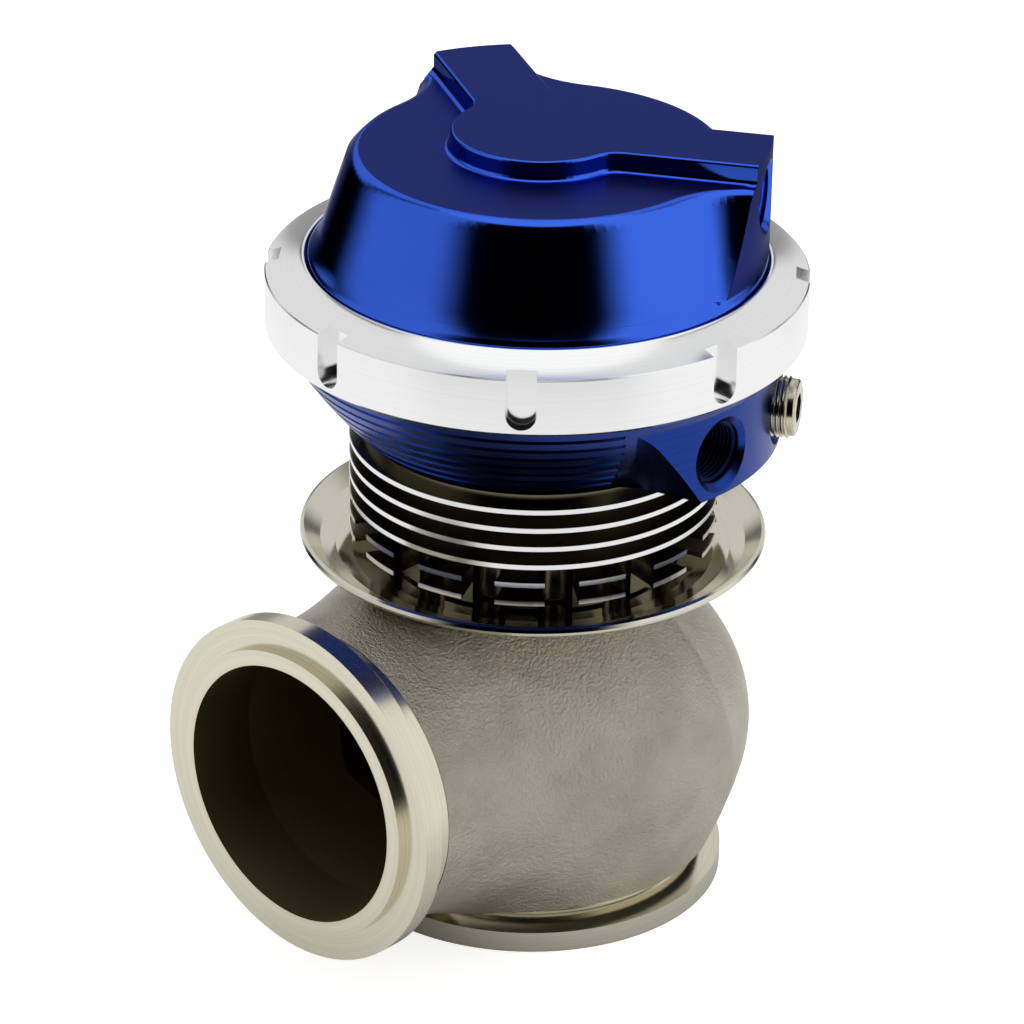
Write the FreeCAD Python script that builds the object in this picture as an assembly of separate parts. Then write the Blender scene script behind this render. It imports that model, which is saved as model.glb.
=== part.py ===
import FreeCAD, Part
import math
import os

from FreeCAD import Vector

# External turbo wastegate, clamped between a manifold pipe below and a dump pipe at its side.
# Millimetres. Z is the valve's axis. The origin is the middle of the inlet flange's lower face.
# The outlet points along -Y. Angles are counted from +X, anticlockwise seen from above.

# Cast valve housing
BODY_RADIUS = 37.0
BODY_HALF_HEIGHT = 30.6
BODY_CENTRE_Z = 27.5
BODY_HEIGHT = 58.0
CHAMBER_RADIUS = 32.5
CHAMBER_CORNER = 8.5
CHAMBER_FLOOR_Z = 12.8
CHAMBER_ROOF_Z = 46.0
TOP_BOSS_RADIUS = 20.0
SHIELD_ROOM = 0.4

# Inlet flange and the pocket for the valve seat
INLET_RADIUS = 32.9
INLET_RIM = 3.6
INLET_BACK = 1.2
NECK_RADIUS = 29.0
NECK_GROOVE = 0.5
NECK_BEAD = 0.7
POCKET_RADIUS = 25.5

# Outlet branch and flange
OUTLET_Z = 34.5
OUTLET_REACH = 55.6
OUTLET_RADIUS = 29.15
OUTLET_RIM = 3.7
OUTLET_BACK = 1.2
OUTLET_SLEEVE = 5.0
OUTLET_BORE = 21.95
OUTLET_BORE_DEPTH = 11.0
OUTLET_LIP_RADIUS = 24.6
OUTLET_LIP = 1.5
BRANCH_RADIUS = 25.9
BRANCH_Z = 33.6
THROAT_RADIUS = 18.0
THROAT_REACH = 12.0

# Valve, seat and guide
SEAT_BORE = 20.5
SEAT_HEIGHT = 6.0
SEAT_TOP_Z = 12.4
SEAT_CHAMFER = 1.8
CIRCLIP_THICKNESS = 1.2
CIRCLIP_WIDTH = 2.3
CIRCLIP_GROOVE = 0.9
CIRCLIP_OPENING = 26.0
CIRCLIP_EYE = 0.8
HEAD_RADIUS = 21.8
HEAD_EDGE = 1.4
HEAD_RIM = 3.0
HEAD_HOLLOW = 0.6
HEAD_NECK = 9.0
HEAD_NECK_OUT = 3.15
HEAD_NECK_UP = 2.25
STEM_RADIUS = 4.0
STEM_THREAD_RADIUS = 3.0
STEM_ABOVE_NUT = 1.8
STEM_CHAMFER = 0.5
GUIDE_RADIUS = 6.5
GUIDE_BELOW_ROOF = 4.0
GUIDE_ABOVE_FACE = 3.6

# Heat shield and gasket
SHIELD_RADIUS = 38.6
SHIELD_DEPTH = 5.2
SHIELD_FLAT_RADIUS = 27.5
SHIELD_THICKNESS = 0.8
SHIELD_BEND = 5.5
SHIELD_SAG = 1.1
SHIELD_SLOPE = 24.0
SHIELD_LIP = 0.75
GASKET_THICKNESS = 0.5
GASKET_RADIUS = 19.4

# Finned barrel
BARREL_HEIGHT = 22.7
FIRST_FIN = 3.8
FIN_RADIUS = 30.4
FIN_THICKNESS = 0.8
FIN_PITCH = 3.25
FIN_COUNT = 6
CUT_FINS = 2
CORE_RADIUS = 25.8
FOOT_RADIUS = 24.2
NECK_BAND_RADIUS = 28.0
BARREL_FLOOR = 6.2
BARREL_CAVITY = 18.9
WINDOW_COUNT = 14
WINDOW_WIDTH = 5.6
WINDOW_INNER = 20.7

# Fasteners
BARREL_BOLTS = 6
BARREL_BOLT_CIRCLE = 13.9
BARREL_BOLT_RADIUS = 2.5
BARREL_BOLT_LENGTH = 14.0
BOLT_COLLAR_RADIUS = 4.5
BOLT_COLLAR = 0.8
BOLT_HEAD_RADIUS = 3.9
BOLT_HEAD_HEIGHT = 5.0
BOLT_SOCKET = 4.0
HOUSING_SCREWS = 6
HOUSING_SCREW_FIRST = 30.0
HOUSING_SCREW_CIRCLE = 22.4
HOUSING_SCREW_RADIUS = 2.0
HOUSING_SCREW_LENGTH = 11.0
HOUSING_SCREW_HEAD = 3.6
HOUSING_SCREW_SOCKET = 2.6

# The collar's radius sets the size across of all that it clamps
COLLAR_RADIUS = 44.0
COLLAR_WALL = 4.0
NECK_SET_IN = 2.8
DIAPHRAGM_SEAT = 4.0
THREAD_RADIUS = COLLAR_RADIUS - COLLAR_WALL
CAP_NECK_RADIUS = THREAD_RADIUS - NECK_SET_IN
CHAMBER_WALL_RADIUS = CAP_NECK_RADIUS - DIAPHRAGM_SEAT

# Lower housing, the bowl below the diaphragm
BOWL_HEIGHT = 17.2
BOWL_UNDER_COLLAR = 2.1
BOWL_MID_SET_IN = 4.1
BOWL_OVER_BARREL = 0.6
BOWL_TOP_RADIUS = COLLAR_RADIUS - BOWL_UNDER_COLLAR
BOWL_MID_RADIUS = BOWL_TOP_RADIUS - BOWL_MID_SET_IN
BOWL_MID_HEIGHT = 10.8
BOWL_BOTTOM_RADIUS = NECK_BAND_RADIUS + BOWL_OVER_BARREL
BOWL_RIM = 5.3
BOWL_FLOOR = 4.5
CHAMBER_SET_IN = 6.7
CHAMBER_FLOOR_RADIUS = CHAMBER_WALL_RADIUS - CHAMBER_SET_IN
CHAMBER_SLOPE = 7.0
GROOVE_COUNT = 7
GROOVE_PITCH = 2.3
GROOVE_DEPTH = 0.5
FIRST_GROOVE = 3.0
LOBE_UNDER_COLLAR = 3.7
LOBE_RADIUS = COLLAR_RADIUS - LOBE_UNDER_COLLAR
LOBE_CENTRE = 15.0
LOBE_FOOT = 14.8
LOBE_FLARE = 0.667
LOBE_FILLET = 8.0
LOBE_LEVELS = 6
LOBE_SUNK = 0.4
OPEN_PORT_ANGLE = 0.0
PLUG_ANGLE = 30.0
PORT_HEIGHT = 7.0
PORT_RADIUS = 5.15
PORT_DEPTH = 9.5
PORT_DRILL = 2.6
PORT_CHAMFER = 1.3
PLUG_STANDS_OUT = 3.2
PLUG_LENGTH = 11.2
PLUG_CHAMFER = 0.5
PLUG_SOCKET = 4.5
PLUG_SOCKET_DEPTH = 4.5

# Diaphragm stack
PISTON_ROOM = 5.2
PISTON_RADIUS = CHAMBER_WALL_RADIUS - PISTON_ROOM
PISTON_THICKNESS = 4.5
PISTON_ABOVE_FLOOR = 1.5
PISTON_RIM = 4.0
PISTON_CHAMFER = 0.9
DIAPHRAGM = 1.2
DIAPHRAGM_BEND = 1.5
DISC_OVER_PISTON = 0.6
RETAINER_THICKNESS = 1.5
RETAINER_LIP = 2.5
NUT_HEIGHT = 5.0
NUT_FLATS = 10.0
SEAL_RADIUS = 8.0
SEAL_HEIGHT = 3.0
ORING_RADIUS = 0.7
ORING_SET_IN = 1.6
ORING_CIRCLE = NECK_BAND_RADIUS - ORING_SET_IN

# Cap
CAP_FLANGE_ROOM = 0.3
CAP_FLANGE_RADIUS = THREAD_RADIUS - CAP_FLANGE_ROOM
CAP_FLANGE_THICKNESS = 2.6
CAP_NECK_HEIGHT = 6.5
CAP_SHOULDER = 1.4
CAP_SHOULDER_BULGE = 0.3
CONE_SET_IN = 1.6
CONE_TAPER = 5.2
CONE_BOTTOM_RADIUS = CAP_NECK_RADIUS - CONE_SET_IN
CONE_TOP_RADIUS = CONE_BOTTOM_RADIUS - CONE_TAPER
CONE_HEIGHT = 16.0
DECK_ROUND = 1.8
DECK_STEPS = 3
CAP_ROOF = 3.1
CAP_WALL_BELOW = 3.0
CAP_WALL_ABOVE = 3.6
CAP_CAVITY_MOUTH = CONE_BOTTOM_RADIUS - CAP_WALL_BELOW
CAP_CAVITY_TOP = CONE_TOP_RADIUS - CAP_WALL_ABOVE
CAP_CAVITY_CORNER = 2.0
ARM_ANGLES = (30.0, 150.0)
ARM_BLOCK = 8.2
ARM_BLOCK_FILLET = 18.0
WEB_HEIGHT = 3.5
WEB_RADIUS = 14.3
WEB_ARM = 6.9
WEB_FILLET = 5.0
WEB_FOOT = 0.9
WEB_EDGE = 0.5
CAP_PORT_DROP = 4.4
CAP_PORT_DEPTH = 9.0
CAP_PORT_CHAMFER = 1.0
CAP_PORT_DRILL = 1.5

# The retainer fits the cap's cavity, and the outer spring stands inside the retainer's lip.
# Springs: mean radius, thickness of the wire, turns
RETAINER_ROOM = 0.2
RETAINER_RADIUS = CAP_CAVITY_TOP - RETAINER_ROOM
SPRING_SET_IN = 3.0
OUTER_SPRING_RADIUS = RETAINER_RADIUS - SPRING_SET_IN
OUTER_WIRE = 2.8
OUTER_TURNS = 4.5
INNER_SPRING_RADIUS = 12.4
INNER_WIRE = 2.4
INNER_TURNS = 5.5
STEPS_PER_TURN = 20

# Locking collar and index pin
COLLAR_HEIGHT = 9.0
COLLAR_ABOVE_BOWL = 0.3
COLLAR_EDGE = 0.5
COLLAR_SLOPE_SET_IN = 1.3
COLLAR_HOLLOW = 3.2
COLLAR_HOLLOW_FOOT = 0.8
COLLAR_HOLLOW_MIDDLE = 1.5
COLLAR_LIP = 3.0
COLLAR_LIP_WIDTH = 0.9
COLLAR_RISE = 4.5
SLOT_COUNT = 8
SLOT_FIRST = -50.6
SLOT_WIDTH = 4.75
SLOT_DEPTH = 2.3
SLOT_FOOT = 1.1
PIN_RADIUS = 1.5
PIN_SET_IN = 2.3
PIN_CIRCLE = CAP_NECK_RADIUS - PIN_SET_IN
PIN_ANGLE = 90.0
PIN_DEPTH = 5.5

# Clearances
RUNNING = 0.05
SLIP = 0.1
SEAT_GAP = 0.15
AROUND_CAP = 0.35
TAKE_OFF = 0.1
AROUND_BOLT = 0.15
AROUND_STEM = 0.5
PIN_END = 0.4

# Levels that follow from the sizes above
TOP_FACE_Z = BODY_HEIGHT
SEAT_BOTTOM_Z = SEAT_TOP_Z - SEAT_HEIGHT
SHIELD_TOP_Z = TOP_FACE_Z + SHIELD_THICKNESS
SHIELD_RIM_Z = TOP_FACE_Z + SHIELD_DEPTH
BARREL_BOTTOM_Z = SHIELD_TOP_Z + GASKET_THICKNESS
BARREL_FLOOR_Z = BARREL_BOTTOM_Z + BARREL_FLOOR
BARREL_TOP_Z = BARREL_BOTTOM_Z + BARREL_HEIGHT
LOWEST_FIN_Z = BARREL_BOTTOM_Z + FIRST_FIN
TOP_FIN_Z = LOWEST_FIN_Z + (FIN_COUNT - 1) * FIN_PITCH + FIN_THICKNESS
CUT_FIN_TOP_Z = LOWEST_FIN_Z + CUT_FINS * FIN_PITCH
BOWL_FLOOR_Z = BARREL_TOP_Z + BOWL_FLOOR
PORT_Z = BARREL_TOP_Z + PORT_HEIGHT
SHOULDER_Z = BARREL_TOP_Z + BOWL_HEIGHT
CLAMP_Z = SHOULDER_Z + BOWL_RIM
PISTON_Z = BOWL_FLOOR_Z + PISTON_ABOVE_FLOOR
DISC_Z = PISTON_Z + PISTON_THICKNESS
RETAINER_Z = DISC_Z + DIAPHRAGM
SPRING_Z = RETAINER_Z + RETAINER_THICKNESS
CAP_BOTTOM_Z = CLAMP_Z + DIAPHRAGM
CAP_FLANGE_Z = CAP_BOTTOM_Z + CAP_FLANGE_THICKNESS
CAP_NECK_Z = CAP_BOTTOM_Z + CAP_NECK_HEIGHT
CONE_BOTTOM_Z = CAP_NECK_Z + CAP_SHOULDER
DECK_Z = CONE_BOTTOM_Z + CONE_HEIGHT
CAP_ROOF_Z = DECK_Z - CAP_ROOF
WEB_Z = DECK_Z + WEB_HEIGHT
CAP_PORT_Z = DECK_Z - CAP_PORT_DROP
COLLAR_BOTTOM_Z = SHOULDER_Z + COLLAR_ABOVE_BOWL
COLLAR_SHOULDER_Z = COLLAR_BOTTOM_Z + COLLAR_HEIGHT
COLLAR_TOP_Z = COLLAR_SHOULDER_Z + COLLAR_LIP
PIN_SEAT_Z = CLAMP_Z - PIN_DEPTH
PIN_TOP_Z = CAP_BOTTOM_Z + COLLAR_RISE + PIN_END
SHIELD_HOLE = GUIDE_RADIUS + SLIP
DRAFT = (CONE_BOTTOM_RADIUS - CONE_TOP_RADIUS) / CONE_HEIGHT
UP = Vector(0, 0, 1)
BEYOND = 10.0
PAST = 1.0


def arc_points(start, middle, end, steps):
    """Points on the arc through three (radius, height) points, for a bend made in straight steps."""
    curve = Part.Arc(Vector(*start, 0), Vector(*middle, 0), Vector(*end, 0)).toShape()
    return [(point.x, point.y) for point in curve.discretize(steps + 1)][1:]


def turned(start, *runs):
    """A solid turned about Z. A run is the next (radius, height), or a middle point and an end for an arc."""
    at = Vector(start[0], 0, start[1])
    edges = []
    for run in runs + (start,):
        if len(run) == 4:
            middle = Vector(run[0], 0, run[1])
            end = Vector(run[2], 0, run[3])
            edges.append(Part.Arc(at, middle, end).toShape())
        else:
            end = Vector(run[0], 0, run[1])
            edges.append(Part.LineSegment(at, end).toShape())
        at = end
    face = Part.Face(Part.Wire(edges))
    return face.revolve(Vector(0, 0, 0), UP, 360)


def disc(radius, bottom, top):
    return Part.makeCylinder(radius, top - bottom, Vector(0, 0, bottom))


def ring(inner, outer, bottom, top):
    return disc(outer, bottom, top).cut(disc(inner, bottom, top))


def outward(angle):
    return Vector(math.cos(math.radians(angle)), math.sin(math.radians(angle)), 0)


def spoke(angle, height, radius, start, end, end_radius=None):
    """A round bar or taper that points away from the Z axis at one angle."""
    base = outward(angle) * start + Vector(0, 0, height)
    if end_radius is None:
        return Part.makeCylinder(radius, end - start, base, outward(angle))
    return Part.makeCone(radius, end_radius, end - start, base, outward(angle))


def around(shape, count, first=0.0):
    """Copies of a shape, evenly spaced about Z."""
    copies = []
    for i in range(count):
        copy = shape.copy()
        copy.rotate(Vector(0, 0, 0), UP, first + i * 360.0 / count)
        copies.append(copy)
    return copies


def bores(radius, circle, count, bottom, top, first=0.0):
    """Upright round cutters on a circle about Z."""
    bore = disc(radius, bottom, top)
    bore.translate(outward(0) * circle)
    return around(bore, count, first)


def joined(shapes):
    whole = shapes[0].multiFuse(shapes[1:])
    return whole.removeSplitter()


def hexagon(flats, bottom, top):
    corner = flats / math.sqrt(3)
    points = [outward(60 * i) * corner + Vector(0, 0, bottom) for i in range(7)]
    return Part.Face(Part.makePolygon(points)).extrude(Vector(0, 0, top - bottom))


def armed_outline(radius, half_width, fillet, angles, reach, height):
    """A circle with straight arms that run into it with hollow corners, as one closed wire."""
    away = half_width + fillet
    along = math.sqrt((radius + fillet) ** 2 - away ** 2)
    half_angle = math.degrees(math.asin(away / (radius + fillet)))
    edges = []
    for i, angle in enumerate(angles):
        ahead = outward(angle)
        side = outward(angle + 90)
        rise = Vector(0, 0, height)
        corners = []
        for sign in (-1, 1):
            centre = ahead * along + side * (sign * away)
            on_circle = outward(angle + sign * half_angle) * radius
            on_arm = ahead * along + side * (sign * half_width)
            halfway = (on_circle - centre) + (on_arm - centre)
            middle = centre + halfway * (fillet / halfway.Length)
            tip = ahead * reach + side * (sign * half_width)
            corners.append((on_circle + rise, middle + rise, on_arm + rise, tip + rise))
        low, high = corners
        edges.append(Part.Arc(low[0], low[1], low[2]).toShape())
        edges.append(Part.LineSegment(low[2], low[3]).toShape())
        edges.append(Part.LineSegment(low[3], high[3]).toShape())
        edges.append(Part.LineSegment(high[3], high[2]).toShape())
        edges.append(Part.Arc(high[2], high[1], high[0]).toShape())
        following = angles[(i + 1) % len(angles)]
        if following <= angle:
            following += 360
        between = outward((angle + following) / 2) * radius
        next_start = outward(following - half_angle) * radius
        edges.append(Part.Arc(high[0], between + rise, next_start + rise).toShape())
    return Part.Wire(edges)


def export(node, shape):
    shape.exportStep(f"parts/{node}.step")


# Valve housing

def egg(radius, bottom, top):
    """A squashed ball, flat at two heights, made by turning one arc of an ellipse."""
    half_height = radius * BODY_HALF_HEIGHT / BODY_RADIUS
    low = math.asin((bottom - BODY_CENTRE_Z) / half_height)
    high = math.asin((top - BODY_CENTRE_Z) / half_height)
    curve = Part.Arc(Part.Ellipse(Vector(0, 0, 0), radius, half_height), low, high).toShape()
    curve.rotate(Vector(0, 0, 0), Vector(1, 0, 0), 90)
    curve.translate(Vector(0, 0, BODY_CENTRE_Z))
    foot = curve.valueAt(curve.FirstParameter)
    head = curve.valueAt(curve.LastParameter)
    rest = Part.makePolygon([head, Vector(0, 0, top), Vector(0, 0, bottom), foot])
    face = Part.Face(Part.Wire([curve] + rest.Edges))
    return face.revolve(Vector(0, 0, 0), UP, 360)


def inlet_flange():
    """The clamp rim with its sloped back, the groove above it, the bead and the machined neck."""
    groove_z = INLET_RIM + INLET_BACK + NECK_GROOVE
    bead_z = groove_z + NECK_GROOVE
    return turned(
        (0, 0),
        (INLET_RADIUS, 0),
        (INLET_RADIUS, INLET_RIM),
        (NECK_RADIUS, INLET_RIM + INLET_BACK),
        (NECK_RADIUS - NECK_GROOVE, groove_z),
        (NECK_RADIUS, bead_z),
        (NECK_RADIUS + NECK_BEAD, bead_z + NECK_BEAD / 2),
        (NECK_RADIUS + NECK_BEAD, bead_z + 3 * NECK_BEAD / 2),
        (NECK_RADIUS, bead_z + 2 * NECK_BEAD),
        (NECK_RADIUS, CHAMBER_FLOOR_Z),
        (0, CHAMBER_FLOOR_Z),
    )


def outlet_flange():
    """The side flange, turned about Z first and then laid over to point along -Y."""
    rim_back = OUTLET_REACH - OUTLET_RIM
    flange = turned(
        (0, rim_back - OUTLET_SLEEVE),
        (BRANCH_RADIUS - OUTLET_BACK, rim_back - OUTLET_SLEEVE),
        (BRANCH_RADIUS, rim_back - OUTLET_BACK),
        (OUTLET_RADIUS, rim_back),
        (OUTLET_RADIUS, OUTLET_REACH),
        (OUTLET_LIP_RADIUS, OUTLET_REACH),
        (OUTLET_LIP_RADIUS, OUTLET_REACH + OUTLET_LIP),
        (0, OUTLET_REACH + OUTLET_LIP),
    )
    flange.rotate(Vector(0, 0, 0), Vector(1, 0, 0), 90)
    flange.translate(Vector(0, 0, OUTLET_Z))
    return flange


def outlet_passage():
    """The straight outlet bore and the taper that leads from it into the chamber."""
    inward = Vector(0, 1, 0)
    mouth = Vector(0, -OUTLET_REACH - OUTLET_LIP, OUTLET_Z)
    straight = Part.makeCylinder(OUTLET_BORE, OUTLET_BORE_DEPTH + OUTLET_LIP, mouth, inward)
    wide_at = Vector(0, OUTLET_BORE_DEPTH - OUTLET_REACH, OUTLET_Z)
    length = OUTLET_REACH - OUTLET_BORE_DEPTH - THROAT_REACH
    taper = Part.makeCone(OUTLET_BORE, THROAT_RADIUS, length, wide_at, inward)
    return [straight, taper]


def shield_room():
    """Room under the heat shield, so that the branch clears it all round."""
    return turned(
        (0, TOP_FACE_Z + BEYOND),
        (0, TOP_FACE_Z),
        (TOP_BOSS_RADIUS, TOP_FACE_Z),
        (TOP_BOSS_RADIUS, TOP_FACE_Z - SHIELD_ROOM),
        (SHIELD_FLAT_RADIUS, TOP_FACE_Z - SHIELD_ROOM),
        (SHIELD_FLAT_RADIUS + SHIELD_BEND, TOP_FACE_Z + SHIELD_SAG - SHIELD_ROOM),
        (SHIELD_RADIUS, SHIELD_RIM_Z - 2 * SHIELD_LIP - SHIELD_ROOM),
        (SHIELD_RADIUS + SHIELD_ROOM, TOP_FACE_Z + BEYOND),
    )


def chamber():
    """The gas chamber above the valve seat, with its corners cast at a slope."""
    return turned(
        (0, CHAMBER_FLOOR_Z),
        (CHAMBER_RADIUS - CHAMBER_CORNER, CHAMBER_FLOOR_Z),
        (CHAMBER_RADIUS, CHAMBER_FLOOR_Z + CHAMBER_CORNER),
        (CHAMBER_RADIUS, CHAMBER_ROOF_Z - CHAMBER_CORNER),
        (CHAMBER_RADIUS - CHAMBER_CORNER, CHAMBER_ROOF_Z),
        (0, CHAMBER_ROOF_Z),
    )


def make_valve_housing():
    branch = Part.makeCylinder(BRANCH_RADIUS, OUTLET_REACH - OUTLET_RIM, Vector(0, 0, BRANCH_Z),
                               Vector(0, -1, 0))
    ball = joined([egg(BODY_RADIUS, INLET_RIM, TOP_FACE_Z - SHIELD_ROOM), branch])
    boss = disc(TOP_BOSS_RADIUS, CHAMBER_ROOF_Z, TOP_FACE_Z)
    outside = joined([joined([ball, boss]).cut(shield_room()), inlet_flange(), outlet_flange()])
    bolt_foot = BARREL_FLOOR_Z + BOLT_COLLAR - BARREL_BOLT_LENGTH
    holes = [
        chamber(),
        disc(POCKET_RADIUS, -BEYOND, SEAT_TOP_Z),
        disc(SEAT_BORE + SEAT_CHAMFER, SEAT_TOP_Z - BEYOND, CHAMBER_FLOOR_Z + BEYOND),
        disc(POCKET_RADIUS + CIRCLIP_GROOVE, SEAT_BOTTOM_Z - CIRCLIP_THICKNESS - RUNNING, SEAT_BOTTOM_Z),
        disc(GUIDE_RADIUS + RUNNING, CHAMBER_ROOF_Z - BEYOND, TOP_FACE_Z + BEYOND),
    ]
    holes += outlet_passage()
    holes += bores(BARREL_BOLT_RADIUS + RUNNING, BARREL_BOLT_CIRCLE, BARREL_BOLTS, bolt_foot - SLIP,
                   TOP_FACE_Z + BEYOND)
    return outside.cut(holes)


# Seat, valve and guide

def make_valve_seat():
    return turned(
        (SEAT_BORE, SEAT_BOTTOM_Z),
        (POCKET_RADIUS - RUNNING, SEAT_BOTTOM_Z),
        (POCKET_RADIUS - RUNNING, SEAT_TOP_Z),
        (SEAT_BORE + SEAT_CHAMFER, SEAT_TOP_Z),
        (SEAT_BORE, SEAT_TOP_Z - SEAT_CHAMFER),
    )


def make_seat_circlip():
    """A spring ring in the pocket's groove. It is open at one place, with a drilled ear each side."""
    outer = POCKET_RADIUS + CIRCLIP_GROOVE - RUNNING
    inner = outer - CIRCLIP_WIDTH
    bottom = SEAT_BOTTOM_Z - CIRCLIP_THICKNESS
    half = CIRCLIP_OPENING / 2
    ear_half = math.degrees(CIRCLIP_WIDTH / inner)
    clip = ring(inner, outer, bottom, SEAT_BOTTOM_Z)
    gap = Part.makePolygon([Vector(0, 0, bottom), outward(90 + half) * (2 * outer) + Vector(0, 0, bottom),
                            outward(90 - half) * (2 * outer) + Vector(0, 0, bottom), Vector(0, 0, bottom)])
    clip = clip.cut(Part.Face(gap).extrude(Vector(0, 0, CIRCLIP_THICKNESS)))
    for side in (-1, 1):
        at = outward(90 + side * (half + ear_half)) * inner
        ear = disc(CIRCLIP_WIDTH, bottom, SEAT_BOTTOM_Z)
        ear.translate(at)
        eye = disc(CIRCLIP_EYE, bottom, SEAT_BOTTOM_Z)
        eye.translate(at)
        clip = clip.fuse(ear.common(disc(outer, bottom, SEAT_BOTTOM_Z))).cut(eye)
    return clip.removeSplitter()


def make_valve():
    """The poppet: a dished head on its seat, and a stem with a shoulder and a thread at the top."""
    face_shift = SEAT_GAP * math.sqrt(2)
    inner = HEAD_RADIUS - HEAD_EDGE
    face_z = SEAT_TOP_Z - SEAT_CHAMFER + (inner - SEAT_BORE) + face_shift
    edge_z = face_z + HEAD_EDGE
    rim_z = edge_z + HEAD_EDGE
    thread_top = SPRING_Z + NUT_HEIGHT + STEM_ABOVE_NUT
    neck = arc_points((HEAD_RADIUS, rim_z), (STEM_RADIUS + HEAD_NECK_OUT, rim_z + HEAD_NECK_UP),
                      (STEM_RADIUS, rim_z + HEAD_NECK), 5)
    return turned(
        (0, face_z + HEAD_HOLLOW),
        (inner - HEAD_RIM, face_z + HEAD_HOLLOW),
        (inner - HEAD_RIM + HEAD_HOLLOW, face_z),
        (inner, face_z),
        (HEAD_RADIUS, edge_z),
        (HEAD_RADIUS, rim_z),
        *neck,
        (STEM_RADIUS, PISTON_Z),
        (STEM_THREAD_RADIUS, PISTON_Z),
        (STEM_THREAD_RADIUS, thread_top - STEM_CHAMFER),
        (STEM_THREAD_RADIUS - STEM_CHAMFER, thread_top),
        (0, thread_top),
    )


def make_valve_guide():
    return ring(STEM_RADIUS + RUNNING, GUIDE_RADIUS, CHAMBER_ROOF_Z - GUIDE_BELOW_ROOF,
                TOP_FACE_Z + GUIDE_ABOVE_FACE)


# Heat shield, gasket and finned barrel

def make_heat_shield():
    """A thin spun dish with a flared wall and a rolled edge."""
    edge_r = SHIELD_RADIUS - SHIELD_LIP
    foot_z = SHIELD_RIM_Z - 2 * SHIELD_LIP
    below = arc_points((SHIELD_FLAT_RADIUS, TOP_FACE_Z),
                       (SHIELD_FLAT_RADIUS + SHIELD_BEND, TOP_FACE_Z + SHIELD_SAG), (edge_r, foot_z), 4)
    roll = arc_points((edge_r, foot_z), (SHIELD_RADIUS, SHIELD_RIM_Z - SHIELD_LIP), (edge_r, SHIELD_RIM_Z), 4)
    lean = math.radians(SHIELD_SLOPE)
    above = [(r - SHIELD_THICKNESS * math.sin(lean), z + SHIELD_THICKNESS * math.cos(lean))
             for r, z in below[-2::-1]]
    dish = turned((SHIELD_HOLE, TOP_FACE_Z), (SHIELD_FLAT_RADIUS, TOP_FACE_Z), *below, *roll, *above,
                  (SHIELD_FLAT_RADIUS, SHIELD_TOP_Z), (SHIELD_HOLE, SHIELD_TOP_Z))
    return dish.cut(bores(BARREL_BOLT_RADIUS + AROUND_BOLT, BARREL_BOLT_CIRCLE, BARREL_BOLTS,
                          TOP_FACE_Z - BEYOND, SHIELD_TOP_Z + BEYOND))


def make_shield_gasket():
    flat = ring(SHIELD_HOLE, GASKET_RADIUS, SHIELD_TOP_Z, BARREL_BOTTOM_Z)
    return flat.cut(bores(BARREL_BOLT_RADIUS + AROUND_BOLT, BARREL_BOLT_CIRCLE, BARREL_BOLTS,
                          SHIELD_TOP_Z - BEYOND, BARREL_BOTTOM_Z + BEYOND))


def window_cutter():
    """A round-ended slot through the lowest fins, one of a ring of windows."""
    end = WINDOW_INNER + WINDOW_WIDTH / 2
    round_end = disc(WINDOW_WIDTH / 2, BARREL_BOTTOM_Z - BEYOND, CUT_FIN_TOP_Z)
    round_end.translate(Vector(end, 0, 0))
    straight = Part.makeBox(FIN_RADIUS, WINDOW_WIDTH, CUT_FIN_TOP_Z - BARREL_BOTTOM_Z + BEYOND,
                            Vector(end, -WINDOW_WIDTH / 2, BARREL_BOTTOM_Z - BEYOND))
    return round_end.fuse(straight)


def make_finned_barrel():
    core = joined([disc(FOOT_RADIUS, BARREL_BOTTOM_Z, CUT_FIN_TOP_Z),
                   disc(CORE_RADIUS, CUT_FIN_TOP_Z, TOP_FIN_Z),
                   disc(NECK_BAND_RADIUS, TOP_FIN_Z, BARREL_TOP_Z)])
    fins = []
    for i in range(FIN_COUNT):
        z = LOWEST_FIN_Z + i * FIN_PITCH
        fins.append(disc(FIN_RADIUS, z, z + FIN_THICKNESS))
    barrel = joined([core] + fins)
    barrel = barrel.cut(around(window_cutter(), WINDOW_COUNT, -90))
    holes = [
        disc(BARREL_CAVITY, BARREL_FLOOR_Z, BARREL_TOP_Z + BEYOND),
        disc(GUIDE_RADIUS + SLIP, BARREL_BOTTOM_Z - BEYOND, TOP_FACE_Z + GUIDE_ABOVE_FACE + SLIP),
        disc(STEM_RADIUS + AROUND_STEM, BARREL_BOTTOM_Z, BARREL_FLOOR_Z + BEYOND),
    ]
    holes += bores(BARREL_BOLT_RADIUS + AROUND_BOLT, BARREL_BOLT_CIRCLE, BARREL_BOLTS,
                   BARREL_BOTTOM_Z - BEYOND, BARREL_FLOOR_Z + BEYOND)
    holes += bores(HOUSING_SCREW_RADIUS + RUNNING, HOUSING_SCREW_CIRCLE, HOUSING_SCREWS,
                   BOWL_FLOOR_Z - HOUSING_SCREW_LENGTH - SLIP, BARREL_TOP_Z + BEYOND, HOUSING_SCREW_FIRST)
    return barrel.cut(holes)


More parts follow.
